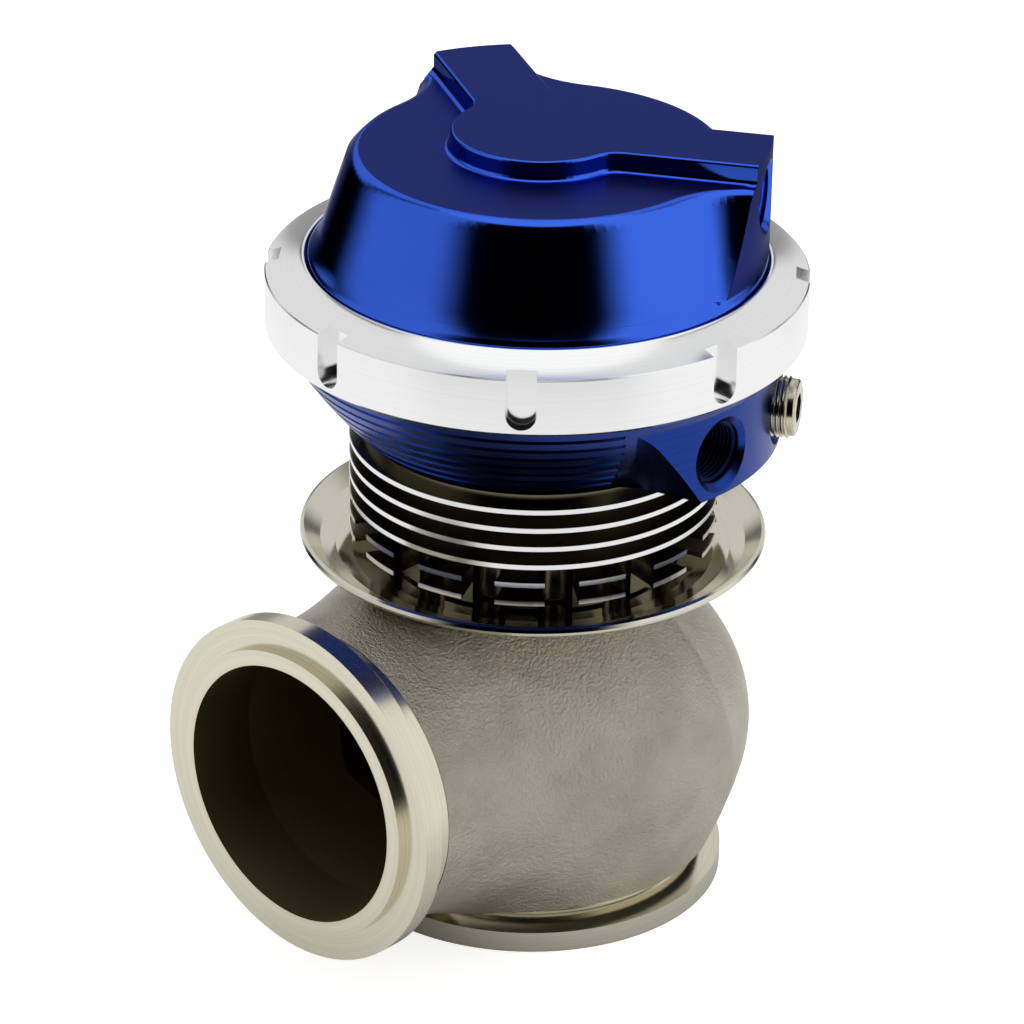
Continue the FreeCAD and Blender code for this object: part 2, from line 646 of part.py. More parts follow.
def make_barrel_bolts():
    """Cap screws with a collar, which hold the barrel and the shield on the valve housing."""
    seat = BARREL_FLOOR_Z
    top = seat + BOLT_HEAD_HEIGHT
    bolt = joined([disc(BARREL_BOLT_RADIUS, seat + BOLT_COLLAR - BARREL_BOLT_LENGTH, seat),
                   disc(BOLT_COLLAR_RADIUS, seat, seat + BOLT_COLLAR),
                   disc(BOLT_HEAD_RADIUS, seat + BOLT_COLLAR, top)])
    bolt = bolt.cut(hexagon(BOLT_SOCKET, top - BOLT_HEAD_HEIGHT / 2, top + BEYOND))
    bolt.translate(Vector(BARREL_BOLT_CIRCLE, 0, 0))
    return Part.makeCompound(around(bolt, BARREL_BOLTS))


# Lower housing

def bowl_curve():
    """The bowl's outside from the collar down to the barrel, as an arc in the plane Y = 0."""
    top = Vector(BOWL_TOP_RADIUS, 0, SHOULDER_Z)
    middle = Vector(BOWL_MID_RADIUS, 0, BARREL_TOP_Z + BOWL_MID_HEIGHT)
    bottom = Vector(BOWL_BOTTOM_RADIUS, 0, BARREL_TOP_Z)
    return Part.Arc(top, middle, bottom).toShape()


def bowl_point(height):
    """The point of the bowl's outside at a height above the barrel."""
    level = Part.LineSegment(Vector(0, 0, BARREL_TOP_Z + height),
                             Vector(2 * BOWL_TOP_RADIUS, 0, BARREL_TOP_Z + height)).toShape()
    return bowl_curve().distToShape(level)[1][0][0]


def lobe_half_width(height):
    return LOBE_FOOT + LOBE_FLARE * height


def port_lobe():
    """The boss that carries both air ports. It widens upwards and runs into the bowl with hollow sides."""
    outlines = []
    for i in range(LOBE_LEVELS):
        height = i * BOWL_HEIGHT / (LOBE_LEVELS - 1)
        radius = bowl_point(height).x - LOBE_SUNK
        outlines.append(armed_outline(radius, lobe_half_width(height), LOBE_FILLET, [LOBE_CENTRE],
                                      LOBE_RADIUS + BEYOND, BARREL_TOP_Z + height))
    return Part.makeLoft(outlines, True, True).common(disc(LOBE_RADIUS, BARREL_TOP_Z, SHOULDER_Z))


def bowl_grooves():
    """Fine turned grooves round the bowl, which stop where the port boss begins."""
    curve = bowl_curve()
    spacing = (curve.Length - 2 * FIRST_GROOVE) / (GROOVE_COUNT - 1)
    half = GROOVE_PITCH / 4
    cutters = []
    for i in range(GROOVE_COUNT):
        at = curve.valueAt(curve.getParameterByLength(FIRST_GROOVE + i * spacing))
        radius = at.x + LOBE_FILLET
        stop = math.degrees(math.asin((lobe_half_width(at.z - BARREL_TOP_Z) + LOBE_FILLET) / radius))
        corners = [at + Vector(GROOVE_PITCH, 0, half), at + Vector(-GROOVE_DEPTH, 0, half),
                   at + Vector(0, 0, -half)]
        cutter = Part.Face(Part.makePolygon(corners + corners[:1]))
        cutter.rotate(Vector(0, 0, 0), UP, LOBE_CENTRE + stop)
        cutters.append(cutter.revolve(Vector(0, 0, 0), UP, 360 - 2 * stop))
    return cutters


def air_port(angle):
    """A tapped port in the lobe: chamfer, thread bore and the drilling into the chamber."""
    return [
        spoke(angle, PORT_Z, PORT_RADIUS, LOBE_RADIUS - PORT_CHAMFER, LOBE_RADIUS + PAST,
              PORT_RADIUS + PORT_CHAMFER + PAST),
        spoke(angle, PORT_Z, PORT_RADIUS, LOBE_RADIUS - PORT_DEPTH, LOBE_RADIUS + PAST),
        spoke(angle, PORT_Z, PORT_DRILL, CHAMBER_FLOOR_RADIUS - PORT_DRILL, LOBE_RADIUS),
    ]


def countersinks():
    """Holes in the bowl's floor for the flush screws."""
    cone_depth = HOUSING_SCREW_HEAD - HOUSING_SCREW_RADIUS
    cone = Part.makeCone(HOUSING_SCREW_RADIUS + AROUND_BOLT, HOUSING_SCREW_HEAD + AROUND_BOLT, cone_depth,
                         Vector(HOUSING_SCREW_CIRCLE, 0, BOWL_FLOOR_Z - cone_depth))
    shank = disc(HOUSING_SCREW_RADIUS + AROUND_BOLT, BARREL_TOP_Z, BOWL_FLOOR_Z)
    shank.translate(Vector(HOUSING_SCREW_CIRCLE, 0, 0))
    return around(cone.fuse(shank), HOUSING_SCREWS, HOUSING_SCREW_FIRST)


def make_lower_housing():
    curve = bowl_curve()
    middle = curve.valueAt((curve.FirstParameter + curve.LastParameter) / 2)
    bowl = turned(
        (0, BARREL_TOP_Z),
        (BOWL_BOTTOM_RADIUS, BARREL_TOP_Z),
        (middle.x, middle.z, BOWL_TOP_RADIUS, SHOULDER_Z),
        (THREAD_RADIUS, SHOULDER_Z),
        (THREAD_RADIUS, CLAMP_Z),
        (0, CLAMP_Z),
    )
    bowl = joined([bowl, port_lobe()])
    hollow = turned(
        (0, BOWL_FLOOR_Z),
        (CHAMBER_FLOOR_RADIUS, BOWL_FLOOR_Z),
        (CHAMBER_WALL_RADIUS, BOWL_FLOOR_Z + CHAMBER_SLOPE),
        (CHAMBER_WALL_RADIUS, CLAMP_Z + BEYOND),
        (0, CLAMP_Z + BEYOND),
    )
    holes = [hollow,
             disc(SEAL_RADIUS + RUNNING, BOWL_FLOOR_Z - SEAL_HEIGHT, BOWL_FLOOR_Z + BEYOND),
             disc(STEM_RADIUS + AROUND_STEM, BARREL_TOP_Z - BEYOND, BOWL_FLOOR_Z),
             ring(ORING_CIRCLE - ORING_RADIUS - RUNNING, ORING_CIRCLE + ORING_RADIUS + RUNNING,
                  BARREL_TOP_Z, BARREL_TOP_Z + 2 * ORING_RADIUS + RUNNING)]
    for angle in (OPEN_PORT_ANGLE, PLUG_ANGLE):
        holes += air_port(angle)
    holes += bowl_grooves() + countersinks()
    return bowl.cut(holes + [pin_bore(RUNNING, PIN_SEAT_Z, CLAMP_Z + BEYOND)])


def make_port_plug():
    """A taper thread plug with a hex socket. It stands out of its port."""
    outer = LOBE_RADIUS + PLUG_STANDS_OUT
    chamfer_at = outer - PLUG_CHAMFER
    radius = PORT_RADIUS - SLIP
    plug = joined([spoke(PLUG_ANGLE, PORT_Z, radius, outer - PLUG_LENGTH, chamfer_at),
                   spoke(PLUG_ANGLE, PORT_Z, radius, chamfer_at, outer, radius - PLUG_CHAMFER)])
    socket = hexagon(PLUG_SOCKET, -PLUG_SOCKET_DEPTH, BEYOND)
    socket.rotate(Vector(0, 0, 0), Vector(0, 1, 0), 90)
    socket.rotate(Vector(0, 0, 0), UP, PLUG_ANGLE)
    socket.translate(outward(PLUG_ANGLE) * outer + Vector(0, 0, PORT_Z))
    return plug.cut(socket)


def make_housing_screws():
    """Flush screws that hold the bowl on the barrel."""
    cone_depth = HOUSING_SCREW_HEAD - HOUSING_SCREW_RADIUS
    cone_foot = BOWL_FLOOR_Z - cone_depth
    head = Part.makeCone(HOUSING_SCREW_RADIUS, HOUSING_SCREW_HEAD, cone_depth, Vector(0, 0, cone_foot))
    shank = disc(HOUSING_SCREW_RADIUS, BOWL_FLOOR_Z - HOUSING_SCREW_LENGTH, cone_foot)
    socket = hexagon(HOUSING_SCREW_SOCKET, BOWL_FLOOR_Z - HOUSING_SCREW_SOCKET / 2, BOWL_FLOOR_Z + BEYOND)
    screw = joined([head, shank]).cut(socket)
    screw.translate(Vector(HOUSING_SCREW_CIRCLE, 0, 0))
    return Part.makeCompound(around(screw, HOUSING_SCREWS, HOUSING_SCREW_FIRST))


def make_housing_oring():
    """The O-ring between bowl and barrel, with its round section in six steps."""
    centre_z = BARREL_TOP_Z + ORING_RADIUS
    points = [(ORING_CIRCLE + ORING_RADIUS * math.cos(math.radians(30 + 60 * i)),
               centre_z + ORING_RADIUS * math.sin(math.radians(30 + 60 * i))) for i in range(6)]
    return turned(*points)


def make_stem_seal():
    return ring(STEM_RADIUS + RUNNING, SEAL_RADIUS, BOWL_FLOOR_Z - SEAL_HEIGHT, BOWL_FLOOR_Z)


# Diaphragm stack

def make_piston():
    """The plate below the diaphragm, hollowed underneath round its hub."""
    return turned(
        (STEM_THREAD_RADIUS + RUNNING, PISTON_Z),
        (SEAL_RADIUS, PISTON_Z),
        (SEAL_RADIUS, PISTON_Z + PISTON_THICKNESS / 2),
        (PISTON_RADIUS - PISTON_RIM, PISTON_Z + PISTON_THICKNESS / 2),
        (PISTON_RADIUS - PISTON_RIM, PISTON_Z),
        (PISTON_RADIUS - PISTON_CHAMFER, PISTON_Z),
        (PISTON_RADIUS, PISTON_Z + PISTON_CHAMFER),
        (PISTON_RADIUS, DISC_Z - PISTON_CHAMFER),
        (PISTON_RADIUS - PISTON_CHAMFER, DISC_Z),
        (STEM_THREAD_RADIUS + RUNNING, DISC_Z),
    )


def make_diaphragm():
    """A moulded rubber cup: flat middle, sloping wall and a flat rim that the cap clamps."""
    inner = PISTON_RADIUS + DISC_OVER_PISTON
    wall = CHAMBER_WALL_RADIUS - RUNNING
    return turned(
        (STEM_THREAD_RADIUS + RUNNING, DISC_Z),
        (inner, DISC_Z),
        (wall, CLAMP_Z - DIAPHRAGM_BEND),
        (wall, CLAMP_Z),
        (CAP_FLANGE_RADIUS - SLIP, CLAMP_Z),
        (CAP_FLANGE_RADIUS - SLIP, CAP_BOTTOM_Z),
        (wall - DIAPHRAGM_BEND, CAP_BOTTOM_Z),
        (inner - DIAPHRAGM_BEND, RETAINER_Z),
        (STEM_THREAD_RADIUS + RUNNING, RETAINER_Z),
    ).cut(pin_bore(SLIP, CLAMP_Z - BEYOND, CAP_BOTTOM_Z + BEYOND))


def pin_bore(clearance, bottom, top):
    bore = disc(PIN_RADIUS + clearance, bottom, top)
    bore.translate(outward(PIN_ANGLE) * PIN_CIRCLE)
    return bore


def make_retainer():
    """The pressed cup above the diaphragm. The springs stand in it."""
    return turned(
        (STEM_THREAD_RADIUS + RUNNING, RETAINER_Z),
        (RETAINER_RADIUS - RETAINER_THICKNESS, RETAINER_Z),
        (RETAINER_RADIUS, SPRING_Z),
        (RETAINER_RADIUS, SPRING_Z + RETAINER_LIP),
        (RETAINER_RADIUS - RETAINER_THICKNESS, SPRING_Z + RETAINER_LIP),
        (RETAINER_RADIUS - RETAINER_THICKNESS, SPRING_Z),
        (STEM_THREAD_RADIUS + RUNNING, SPRING_Z),
    )


def make_stem_nut():
    return hexagon(NUT_FLATS, SPRING_Z, SPRING_Z + NUT_HEIGHT).cut(
        disc(STEM_THREAD_RADIUS + RUNNING, SPRING_Z, SPRING_Z + NUT_HEIGHT))


def make_spring(radius, wire, turns):
    """A coil of square wire between the retainer and the cap's roof, bent in short straight steps."""
    half = wire / 2
    bottom = SPRING_Z + half + SLIP
    height = CAP_ROOF_Z - half - SLIP - bottom
    steps = round(turns * STEPS_PER_TURN)
    sections = []
    for i in range(steps + 1):
        across = outward(360.0 * turns * i / steps)
        centre = across * radius + Vector(0, 0, bottom + height * i / steps)
        corners = [centre + across * (x * half) + UP * (z * half)
                   for x, z in ((-1, -1), (1, -1), (1, 1), (-1, 1), (-1, -1))]
        sections.append(Part.makePolygon(corners))
    return Part.makeLoft(sections, True, True)


# Cap

def cap_cone():
    """The tapered part with a block for each air port, and the edge of its deck rounded in steps."""
    levels = [(CAP_NECK_Z, -DRAFT * (CONE_HEIGHT + CAP_SHOULDER)), (DECK_Z - DECK_ROUND, -DRAFT * DECK_ROUND)]
    for step in range(1, DECK_STEPS + 1):
        turn = math.radians(90 * step / DECK_STEPS)
        levels.append((DECK_Z - DECK_ROUND * (1 - math.sin(turn)), DECK_ROUND * (1 - math.cos(turn))))
    outlines = [armed_outline(CONE_TOP_RADIUS - inset, ARM_BLOCK - inset, ARM_BLOCK_FILLET + inset,
                              ARM_ANGLES, CAP_NECK_RADIUS + BEYOND, z) for z, inset in levels]
    return Part.makeLoft(outlines, True, True)


def cap_web():
    """The raised web on the deck: a round middle and two arms, with hollow corners between them."""
    levels = [(DECK_Z - WEB_FOOT, -2 * WEB_FOOT), (DECK_Z + WEB_FOOT, 0.0),
              (WEB_Z - WEB_EDGE, 0.0), (WEB_Z, WEB_EDGE)]
    outlines = [armed_outline(WEB_RADIUS - inset, WEB_ARM - inset, WEB_FILLET + inset,
                              ARM_ANGLES, CAP_NECK_RADIUS + BEYOND, z) for z, inset in levels]
    return Part.makeLoft(outlines, True, True)


def make_actuator_cap():
    foot = turned(
        (0, CAP_BOTTOM_Z),
        (CAP_FLANGE_RADIUS, CAP_BOTTOM_Z),
        (CAP_FLANGE_RADIUS, CAP_FLANGE_Z),
        (CAP_NECK_RADIUS, CAP_FLANGE_Z),
        (CAP_NECK_RADIUS, CAP_NECK_Z),
        ((CAP_NECK_RADIUS + CONE_BOTTOM_RADIUS) / 2 + CAP_SHOULDER_BULGE,
         (CAP_NECK_Z + CONE_BOTTOM_Z) / 2 + CAP_SHOULDER_BULGE),
        (CONE_BOTTOM_RADIUS, CONE_BOTTOM_Z),
        (0, CONE_BOTTOM_Z),
    )
    upper = joined([cap_cone(), cap_web()]).common(disc(CAP_NECK_RADIUS, CAP_NECK_Z, WEB_Z))
    outside = joined([foot, upper])
    cavity = turned(
        (0, CAP_BOTTOM_Z - BEYOND),
        (CAP_CAVITY_MOUTH, CAP_BOTTOM_Z - BEYOND),
        (CAP_CAVITY_MOUTH, CAP_FLANGE_Z),
        (CAP_CAVITY_TOP, CAP_ROOF_Z - CAP_CAVITY_CORNER),
        (CAP_CAVITY_TOP - CAP_CAVITY_CORNER, CAP_ROOF_Z),
        (0, CAP_ROOF_Z),
    )
    holes = [cavity, pin_bore(SLIP, CAP_BOTTOM_Z - BEYOND, PIN_TOP_Z + PIN_END)]
    for angle in ARM_ANGLES:
        holes.append(spoke(angle, CAP_PORT_Z, PORT_RADIUS, CAP_NECK_RADIUS - CAP_PORT_DEPTH,
                           CAP_NECK_RADIUS + PAST))
        holes.append(spoke(angle, CAP_PORT_Z, PORT_RADIUS, CAP_NECK_RADIUS - CAP_PORT_CHAMFER,
                           CAP_NECK_RADIUS + PAST, PORT_RADIUS + CAP_PORT_CHAMFER + PAST))
        holes.append(spoke(angle, CAP_PORT_Z, CAP_PORT_DRILL, CAP_CAVITY_TOP - BEYOND, CAP_NECK_RADIUS))
    return outside.cut(holes)


# Locking collar and index pin

def make_locking_collar():
    """The turned ring nut: thread bore below, a lip that presses on the cap, spanner slots outside."""
    bore = THREAD_RADIUS + RUNNING
    lip = CAP_NECK_RADIUS + AROUND_CAP
    lip_edge = COLLAR_LIP_WIDTH / 3
    hollow_z = COLLAR_SHOULDER_Z + COLLAR_HOLLOW_FOOT
    hollow = arc_points((lip + COLLAR_HOLLOW, hollow_z),
                        (lip + COLLAR_HOLLOW_MIDDLE, COLLAR_SHOULDER_Z + COLLAR_HOLLOW_MIDDLE),
                        (lip + COLLAR_LIP_WIDTH, COLLAR_TOP_Z - lip_edge), 3)
    blank = turned(
        (bore, COLLAR_BOTTOM_Z),
        (COLLAR_RADIUS - COLLAR_EDGE, COLLAR_BOTTOM_Z),
        (COLLAR_RADIUS, COLLAR_BOTTOM_Z + COLLAR_EDGE),
        (COLLAR_RADIUS, COLLAR_SHOULDER_Z - COLLAR_EDGE),
        (COLLAR_RADIUS - COLLAR_EDGE, COLLAR_SHOULDER_Z),
        (COLLAR_RADIUS - COLLAR_SLOPE_SET_IN, COLLAR_SHOULDER_Z + COLLAR_EDGE / 2),
        (lip + COLLAR_HOLLOW, hollow_z),
        *hollow,
        (lip + COLLAR_LIP_WIDTH - lip_edge, COLLAR_TOP_Z),
        (lip, COLLAR_TOP_Z),
        (lip, CAP_FLANGE_Z + TAKE_OFF),
        (bore, CAP_FLANGE_Z + TAKE_OFF),
    )
    half = SLOT_WIDTH / 2
    floor = COLLAR_RADIUS - SLOT_DEPTH
    foot = COLLAR_BOTTOM_Z + SLOT_FOOT + half
    round_foot = spoke(0, foot, half, floor, COLLAR_RADIUS + BEYOND)
    straight = Part.makeBox(BEYOND, SLOT_WIDTH, COLLAR_TOP_Z - foot, Vector(floor, -half, foot))
    return blank.cut(around(round_foot.fuse(straight), SLOT_COUNT, SLOT_FIRST))


def make_index_pin():
    """A dowel in the bowl's rim that keeps the cap from turning with the collar."""
    return pin_bore(0, PIN_SEAT_Z, PIN_TOP_Z)


def main():
    os.makedirs("parts", exist_ok=True)
    export("valve_housing", make_valve_housing())
    export("valve_seat", make_valve_seat())
    export("seat_circlip", make_seat_circlip())
    export("valve", make_valve())
    export("valve_guide", make_valve_guide())
    export("heat_shield", make_heat_shield())
    export("shield_gasket", make_shield_gasket())
    export("finned_barrel", make_finned_barrel())
    export("barrel_bolts", make_barrel_bolts())
    export("lower_housing", make_lower_housing())
    export("port_plug", make_port_plug())
    export("housing_screws", make_housing_screws())
    export("housing_oring", make_housing_oring())
    export("stem_seal", make_stem_seal())
    export("piston", make_piston())
    export("diaphragm", make_diaphragm())
    export("spring_retainer", make_retainer())
    export("stem_nut", make_stem_nut())
    export("outer_spring", make_spring(OUTER_SPRING_RADIUS, OUTER_WIRE, OUTER_TURNS))
    export("inner_spring", make_spring(INNER_SPRING_RADIUS, INNER_WIRE, INNER_TURNS))
    export("actuator_cap", make_actuator_cap())
    export("locking_collar", make_locking_collar())
    export("index_pin", make_index_pin())


main()
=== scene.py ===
"""A turbo wastegate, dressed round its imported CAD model, part by part as it goes together."""

from math import atan2, cos, pi, radians, sin, sqrt

import bmesh
import bpy
import numpy as np
from mathutils import Matrix, Vector
from mathutils.bvhtree import BVHTree
from mathutils.interpolate import poly_3d_calc


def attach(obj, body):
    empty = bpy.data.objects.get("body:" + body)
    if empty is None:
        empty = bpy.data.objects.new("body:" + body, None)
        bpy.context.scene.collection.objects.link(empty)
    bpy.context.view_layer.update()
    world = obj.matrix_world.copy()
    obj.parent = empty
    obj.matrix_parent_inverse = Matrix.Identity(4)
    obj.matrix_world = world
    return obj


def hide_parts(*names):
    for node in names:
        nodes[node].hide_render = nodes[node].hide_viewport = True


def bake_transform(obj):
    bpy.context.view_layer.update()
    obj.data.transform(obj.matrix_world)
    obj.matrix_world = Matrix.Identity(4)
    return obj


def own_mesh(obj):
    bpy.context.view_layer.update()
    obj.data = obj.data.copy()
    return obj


MM = 0.001
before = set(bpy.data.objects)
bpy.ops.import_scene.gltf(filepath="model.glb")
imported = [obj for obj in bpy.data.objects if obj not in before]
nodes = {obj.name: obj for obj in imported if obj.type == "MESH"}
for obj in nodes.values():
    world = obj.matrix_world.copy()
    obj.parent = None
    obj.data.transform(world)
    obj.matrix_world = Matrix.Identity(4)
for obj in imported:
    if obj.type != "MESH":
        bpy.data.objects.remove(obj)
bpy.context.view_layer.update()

# The valve housing is an investment casting in stainless steel. Its flanges, its top face
# and its bores are machined after it is cast. Inside the bores and the chamber the colour is painted dark, as
# shade.
OUTLET_Z = 34.5
OUTLET_BORE = 21.95
OUTLET_FLANGE = -45.0
BORE_START = -12.0
CHAMBER_RADIUS = 32.6
CHAMBER_LEVELS = (12.6, 46.2)
MACHINED_STEEL = (0.76, 0.72, 0.58)
MACHINED_SHADE = (0.70, 0.66, 0.53)
INSIDE_PAINTED_SHADE = (0.30, 0.26, 0.13)


def link(tree, source, target):
    """Joins one node's output to another node's input."""
    tree.links.new(source, target)


def put(tree, kind, **values):
    """Adds a shader node with its settings and the values of its named inputs."""
    node = tree.nodes.new(kind)
    for name, value in values.items():
        if hasattr(node, name):
            setattr(node, name, value)
        else:
            node.inputs[name].default_value = value
    return node


def maths(tree, operation, first, second=None, clamp=False):
    """A Math node on sockets or plain numbers. It gives its output socket."""
    node = tree.nodes.new("ShaderNodeMath")
    node.operation = operation
    node.use_clamp = clamp
    for place, value in enumerate((first, second)):
        if value is None:
            continue
        if isinstance(value, (int, float)):
            node.inputs[place].default_value = value
        else:
            link(tree, value, node.inputs[place])
    return node.outputs[0]


def ramp(tree, value, low, high):
    """0 below low and 1 above high, with a soft step between them."""
    node = tree.nodes.new("ShaderNodeMapRange")
    node.interpolation_type = "SMOOTHSTEP"
    node.inputs["From Min"].default_value = low
    node.inputs["From Max"].default_value = high
    link(tree, value, node.inputs["Value"])
    return node.outputs["Result"]


def mixed(tree, share, first, second):
    """One colour going over into another by a share, each a colour or a socket."""
    node = tree.nodes.new("ShaderNodeMix")
    node.data_type = "RGBA"
    for place, value in ((0, share), (6, first), (7, second)):
        if isinstance(value, (tuple, list)):
            node.inputs[place].default_value = (*value, 1.0)
        elif isinstance(value, (int, float)):
            node.inputs[place].default_value = value
        else:
            link(tree, value, node.inputs[place])
    return node.outputs[2]


def metal(name, roughness, metallic=1.0):
    """A material with one Principled shader. It gives the material, its tree and the shader."""
    material = bpy.data.materials.new(name)
    material.use_nodes = True
    tree = material.node_tree
    shader = tree.nodes["Principled BSDF"]
    shader.inputs["Metallic"].default_value = metallic
    shader.inputs["Roughness"].default_value = roughness
    return material, tree, shader


def from_axis(tree, first, second):
    """The distance from an axis, from the two coordinates across it."""
    across = put(tree, "ShaderNodeCombineXYZ")
    link(tree, first, across.inputs["X"])
    link(tree, second, across.inputs["Y"])
    length = put(tree, "ShaderNodeVectorMath", operation="LENGTH")
    link(tree, across.outputs[0], length.inputs[0])
    return length.outputs["Value"]


def dress(name, material):
    """Gives a CAD node its finish."""
    for place in nodes[name].material_slots:
        place.material = material


def group(name, inputs, outputs):
    """An empty shader node group. It gives the tree with its input and output nodes."""
    tree = bpy.data.node_groups.new(name, "ShaderNodeTree")
    for label, kind in inputs:
        tree.interface.new_socket(label, in_out="INPUT", socket_type="NodeSocket" + kind)
    for label, kind in outputs:
        tree.interface.new_socket(label, in_out="OUTPUT", socket_type="NodeSocket" + kind)
    return tree, tree.nodes.new("NodeGroupInput"), tree.nodes.new("NodeGroupOutput")


def use(tree, effect, **values):
    """Places a shader node group in a material, with its own values."""
    node = tree.nodes.new("ShaderNodeGroup")
    node.node_tree = effect
    for label, value in values.items():
        node.inputs[label.replace("_", " ")].default_value = value
    return node


# Turned metal shows fine rings about its axis, with a few small scratches across them.
turned, ins, outs = group(
    "turned_metal",
    [("Vector", "Vector"), ("Rings", "Float"), ("Scratches", "Float")],
    [("Height", "Float"), ("Tone", "Float")],
)
split = put(turned, "ShaderNodeSeparateXYZ")
link(turned, ins.outputs["Vector"], split.inputs[0])
profile = put(turned, "ShaderNodeCombineXYZ")
link(turned, from_axis(turned, split.outputs["X"], split.outputs["Y"]), profile.inputs["X"])
link(turned, split.outputs["Z"], profile.inputs["Y"])
rings = put(turned, "ShaderNodeTexNoise", noise_dimensions="2D", Scale=2600.0, Detail=3.0)
link(turned, profile.outputs[0], rings.inputs["Vector"])
marks = put(turned, "ShaderNodeTexNoise", Scale=900.0, Detail=2.0)
link(turned, ins.outputs["Vector"], marks.inputs["Vector"])
ringed = maths(turned, "MULTIPLY", rings.outputs["Fac"], ins.outputs["Rings"])
marked = maths(turned, "MULTIPLY", marks.outputs["Fac"], ins.outputs["Scratches"])
link(turned, maths(turned, "ADD", ringed, marked), outs.inputs["Height"])
link(turned, rings.outputs["Fac"], outs.inputs["Tone"])

machined, tree, shader = metal("machined_stainless", 0.24)
place = put(tree, "ShaderNodeTexCoord")
where = put(tree, "ShaderNodeSeparateXYZ")
link(tree, place.outputs["Object"], where.inputs[0])
laid_over = put(tree, "ShaderNodeMapping", vector_type="POINT")
laid_over.inputs["Location"].default_value = (0, -OUTLET_Z * MM, 0)
laid_over.inputs["Rotation"].default_value = (-pi / 2, 0, 0)
link(tree, place.outputs["Object"], laid_over.inputs["Vector"])
on_outlet = maths(tree, "LESS_THAN", where.outputs["Y"], OUTLET_FLANGE * MM)
axis = put(tree, "ShaderNodeMix", data_type="VECTOR")
link(tree, on_outlet, axis.inputs[0])
link(tree, place.outputs["Object"], axis.inputs[4])
link(tree, laid_over.outputs[0], axis.inputs[5])
grain = use(tree, turned, Rings=0.6, Scratches=0.3)
link(tree, axis.outputs[1], grain.inputs["Vector"])
relief = put(tree, "ShaderNodeBump", Strength=0.025, Distance=0.0001)
link(tree, grain.outputs["Height"], relief.inputs["Height"])
link(tree, relief.outputs[0], shader.inputs["Normal"])
tone = ramp(tree, grain.outputs["Tone"], 0.2, 0.8)
steel = mixed(tree, tone, MACHINED_SHADE, MACHINED_STEEL)
above_outlet = maths(tree, "SUBTRACT", where.outputs["Z"], OUTLET_Z * MM)
outlet_r = from_axis(tree, where.outputs["X"], above_outlet)
valve_r = from_axis(tree, where.outputs["X"], where.outputs["Y"])
in_bore = maths(tree, "LESS_THAN", outlet_r, (OUTLET_BORE + 0.05) * MM)
past_start = maths(tree, "LESS_THAN", where.outputs["Y"], BORE_START * MM)
in_bore = maths(tree, "MULTIPLY", in_bore, past_start)
in_chamber = maths(tree, "LESS_THAN", valve_r, CHAMBER_RADIUS * MM)
for operation, level in zip(("GREATER_THAN", "LESS_THAN"), CHAMBER_LEVELS):
    within = maths(tree, operation, where.outputs["Z"], level * MM)
    in_chamber = maths(tree, "MULTIPLY", in_chamber, within)
inside = maths(tree, "MAXIMUM", in_bore, in_chamber)
# The bores and the chamber get a painted shade colour, since little light gets inside them.
link(tree, mixed(tree, inside, steel, INSIDE_PAINTED_SHADE), shader.inputs["Base Color"])
link(tree, maths(tree, "ADD", maths(tree, "MULTIPLY", inside, 0.35), 0.20), shader.inputs["Roughness"])
dress("valve_housing", machined)

# The housing's cast skin: a squashed ball that flows into the outlet branch and down onto
# the neck with wide cast fillets. It lies over the housing and is left shot blasted.
BALL = (37.05, 30.65, 27.5)
BRANCH = (25.95, 33.6)
NECK = (29.06, 12.0)
CAST_FILLET = 17.0
SKIN_ENDS = (-47.0, 7.3)
BARREL_SEAT = (57.0, 19.0)
SHIELD_UNDERSIDE = ((0.0, 57.66), (27.5, 57.66), (33.0, 58.76), (38.0, 61.4), (39.2, 64.0), (60.0, 64.0))
CAST_STEEL = (0.60, 0.55, 0.46)
CAST_SHADE = (0.49, 0.45, 0.375)


def soft_union(first, second, reach):
    """The distance to two shapes joined by a fillet, from the distance to each."""
    near = np.maximum(reach - np.abs(first - second), 0) / reach
    return np.minimum(first, second) - near * near * reach / 4


def casting_distance(points):
    """How far points in millimetres lie outside the casting."""
    x, y, z = points.T
    wide, tall, middle = BALL
    scaled = np.sqrt((x**2 + y**2) / wide**2 + (z - middle) ** 2 / tall**2)
    slope = np.sqrt((x**2 + y**2) / wide**4 + (z - middle) ** 2 / tall**4)
    ball = scaled * (scaled - 1) / slope
    branch = np.maximum(np.hypot(x, z - BRANCH[1]) - BRANCH[0], y)
    neck = np.maximum(np.hypot(x, y) - NECK[0], z - NECK[1])
    return soft_union(soft_union(ball, branch, CAST_FILLET), neck, CAST_FILLET / 2)


def piece(name, bm, body, material, sharp=30):
    """Turns a bmesh into a named piece, which rides on a CAD body when one is given."""
    mesh = bpy.data.meshes.new(name)
    bm.to_mesh(mesh)
    bm.free()
    mesh.materials.append(material)
    mesh.shade_smooth()
    mesh.set_sharp_from_angle(angle=radians(sharp))
    made = bpy.data.objects.new(name, mesh)
    bpy.context.scene.collection.objects.link(made)
    if body:
        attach(made, body)
    return made


def evaluated(made):
    """Applies a piece's modifiers to its mesh."""
    graph = bpy.context.evaluated_depsgraph_get()
    mesh = bpy.data.meshes.new_from_object(made.evaluated_get(graph), depsgraph=graph)
    made.modifiers.clear()
    made.data = mesh
    return made


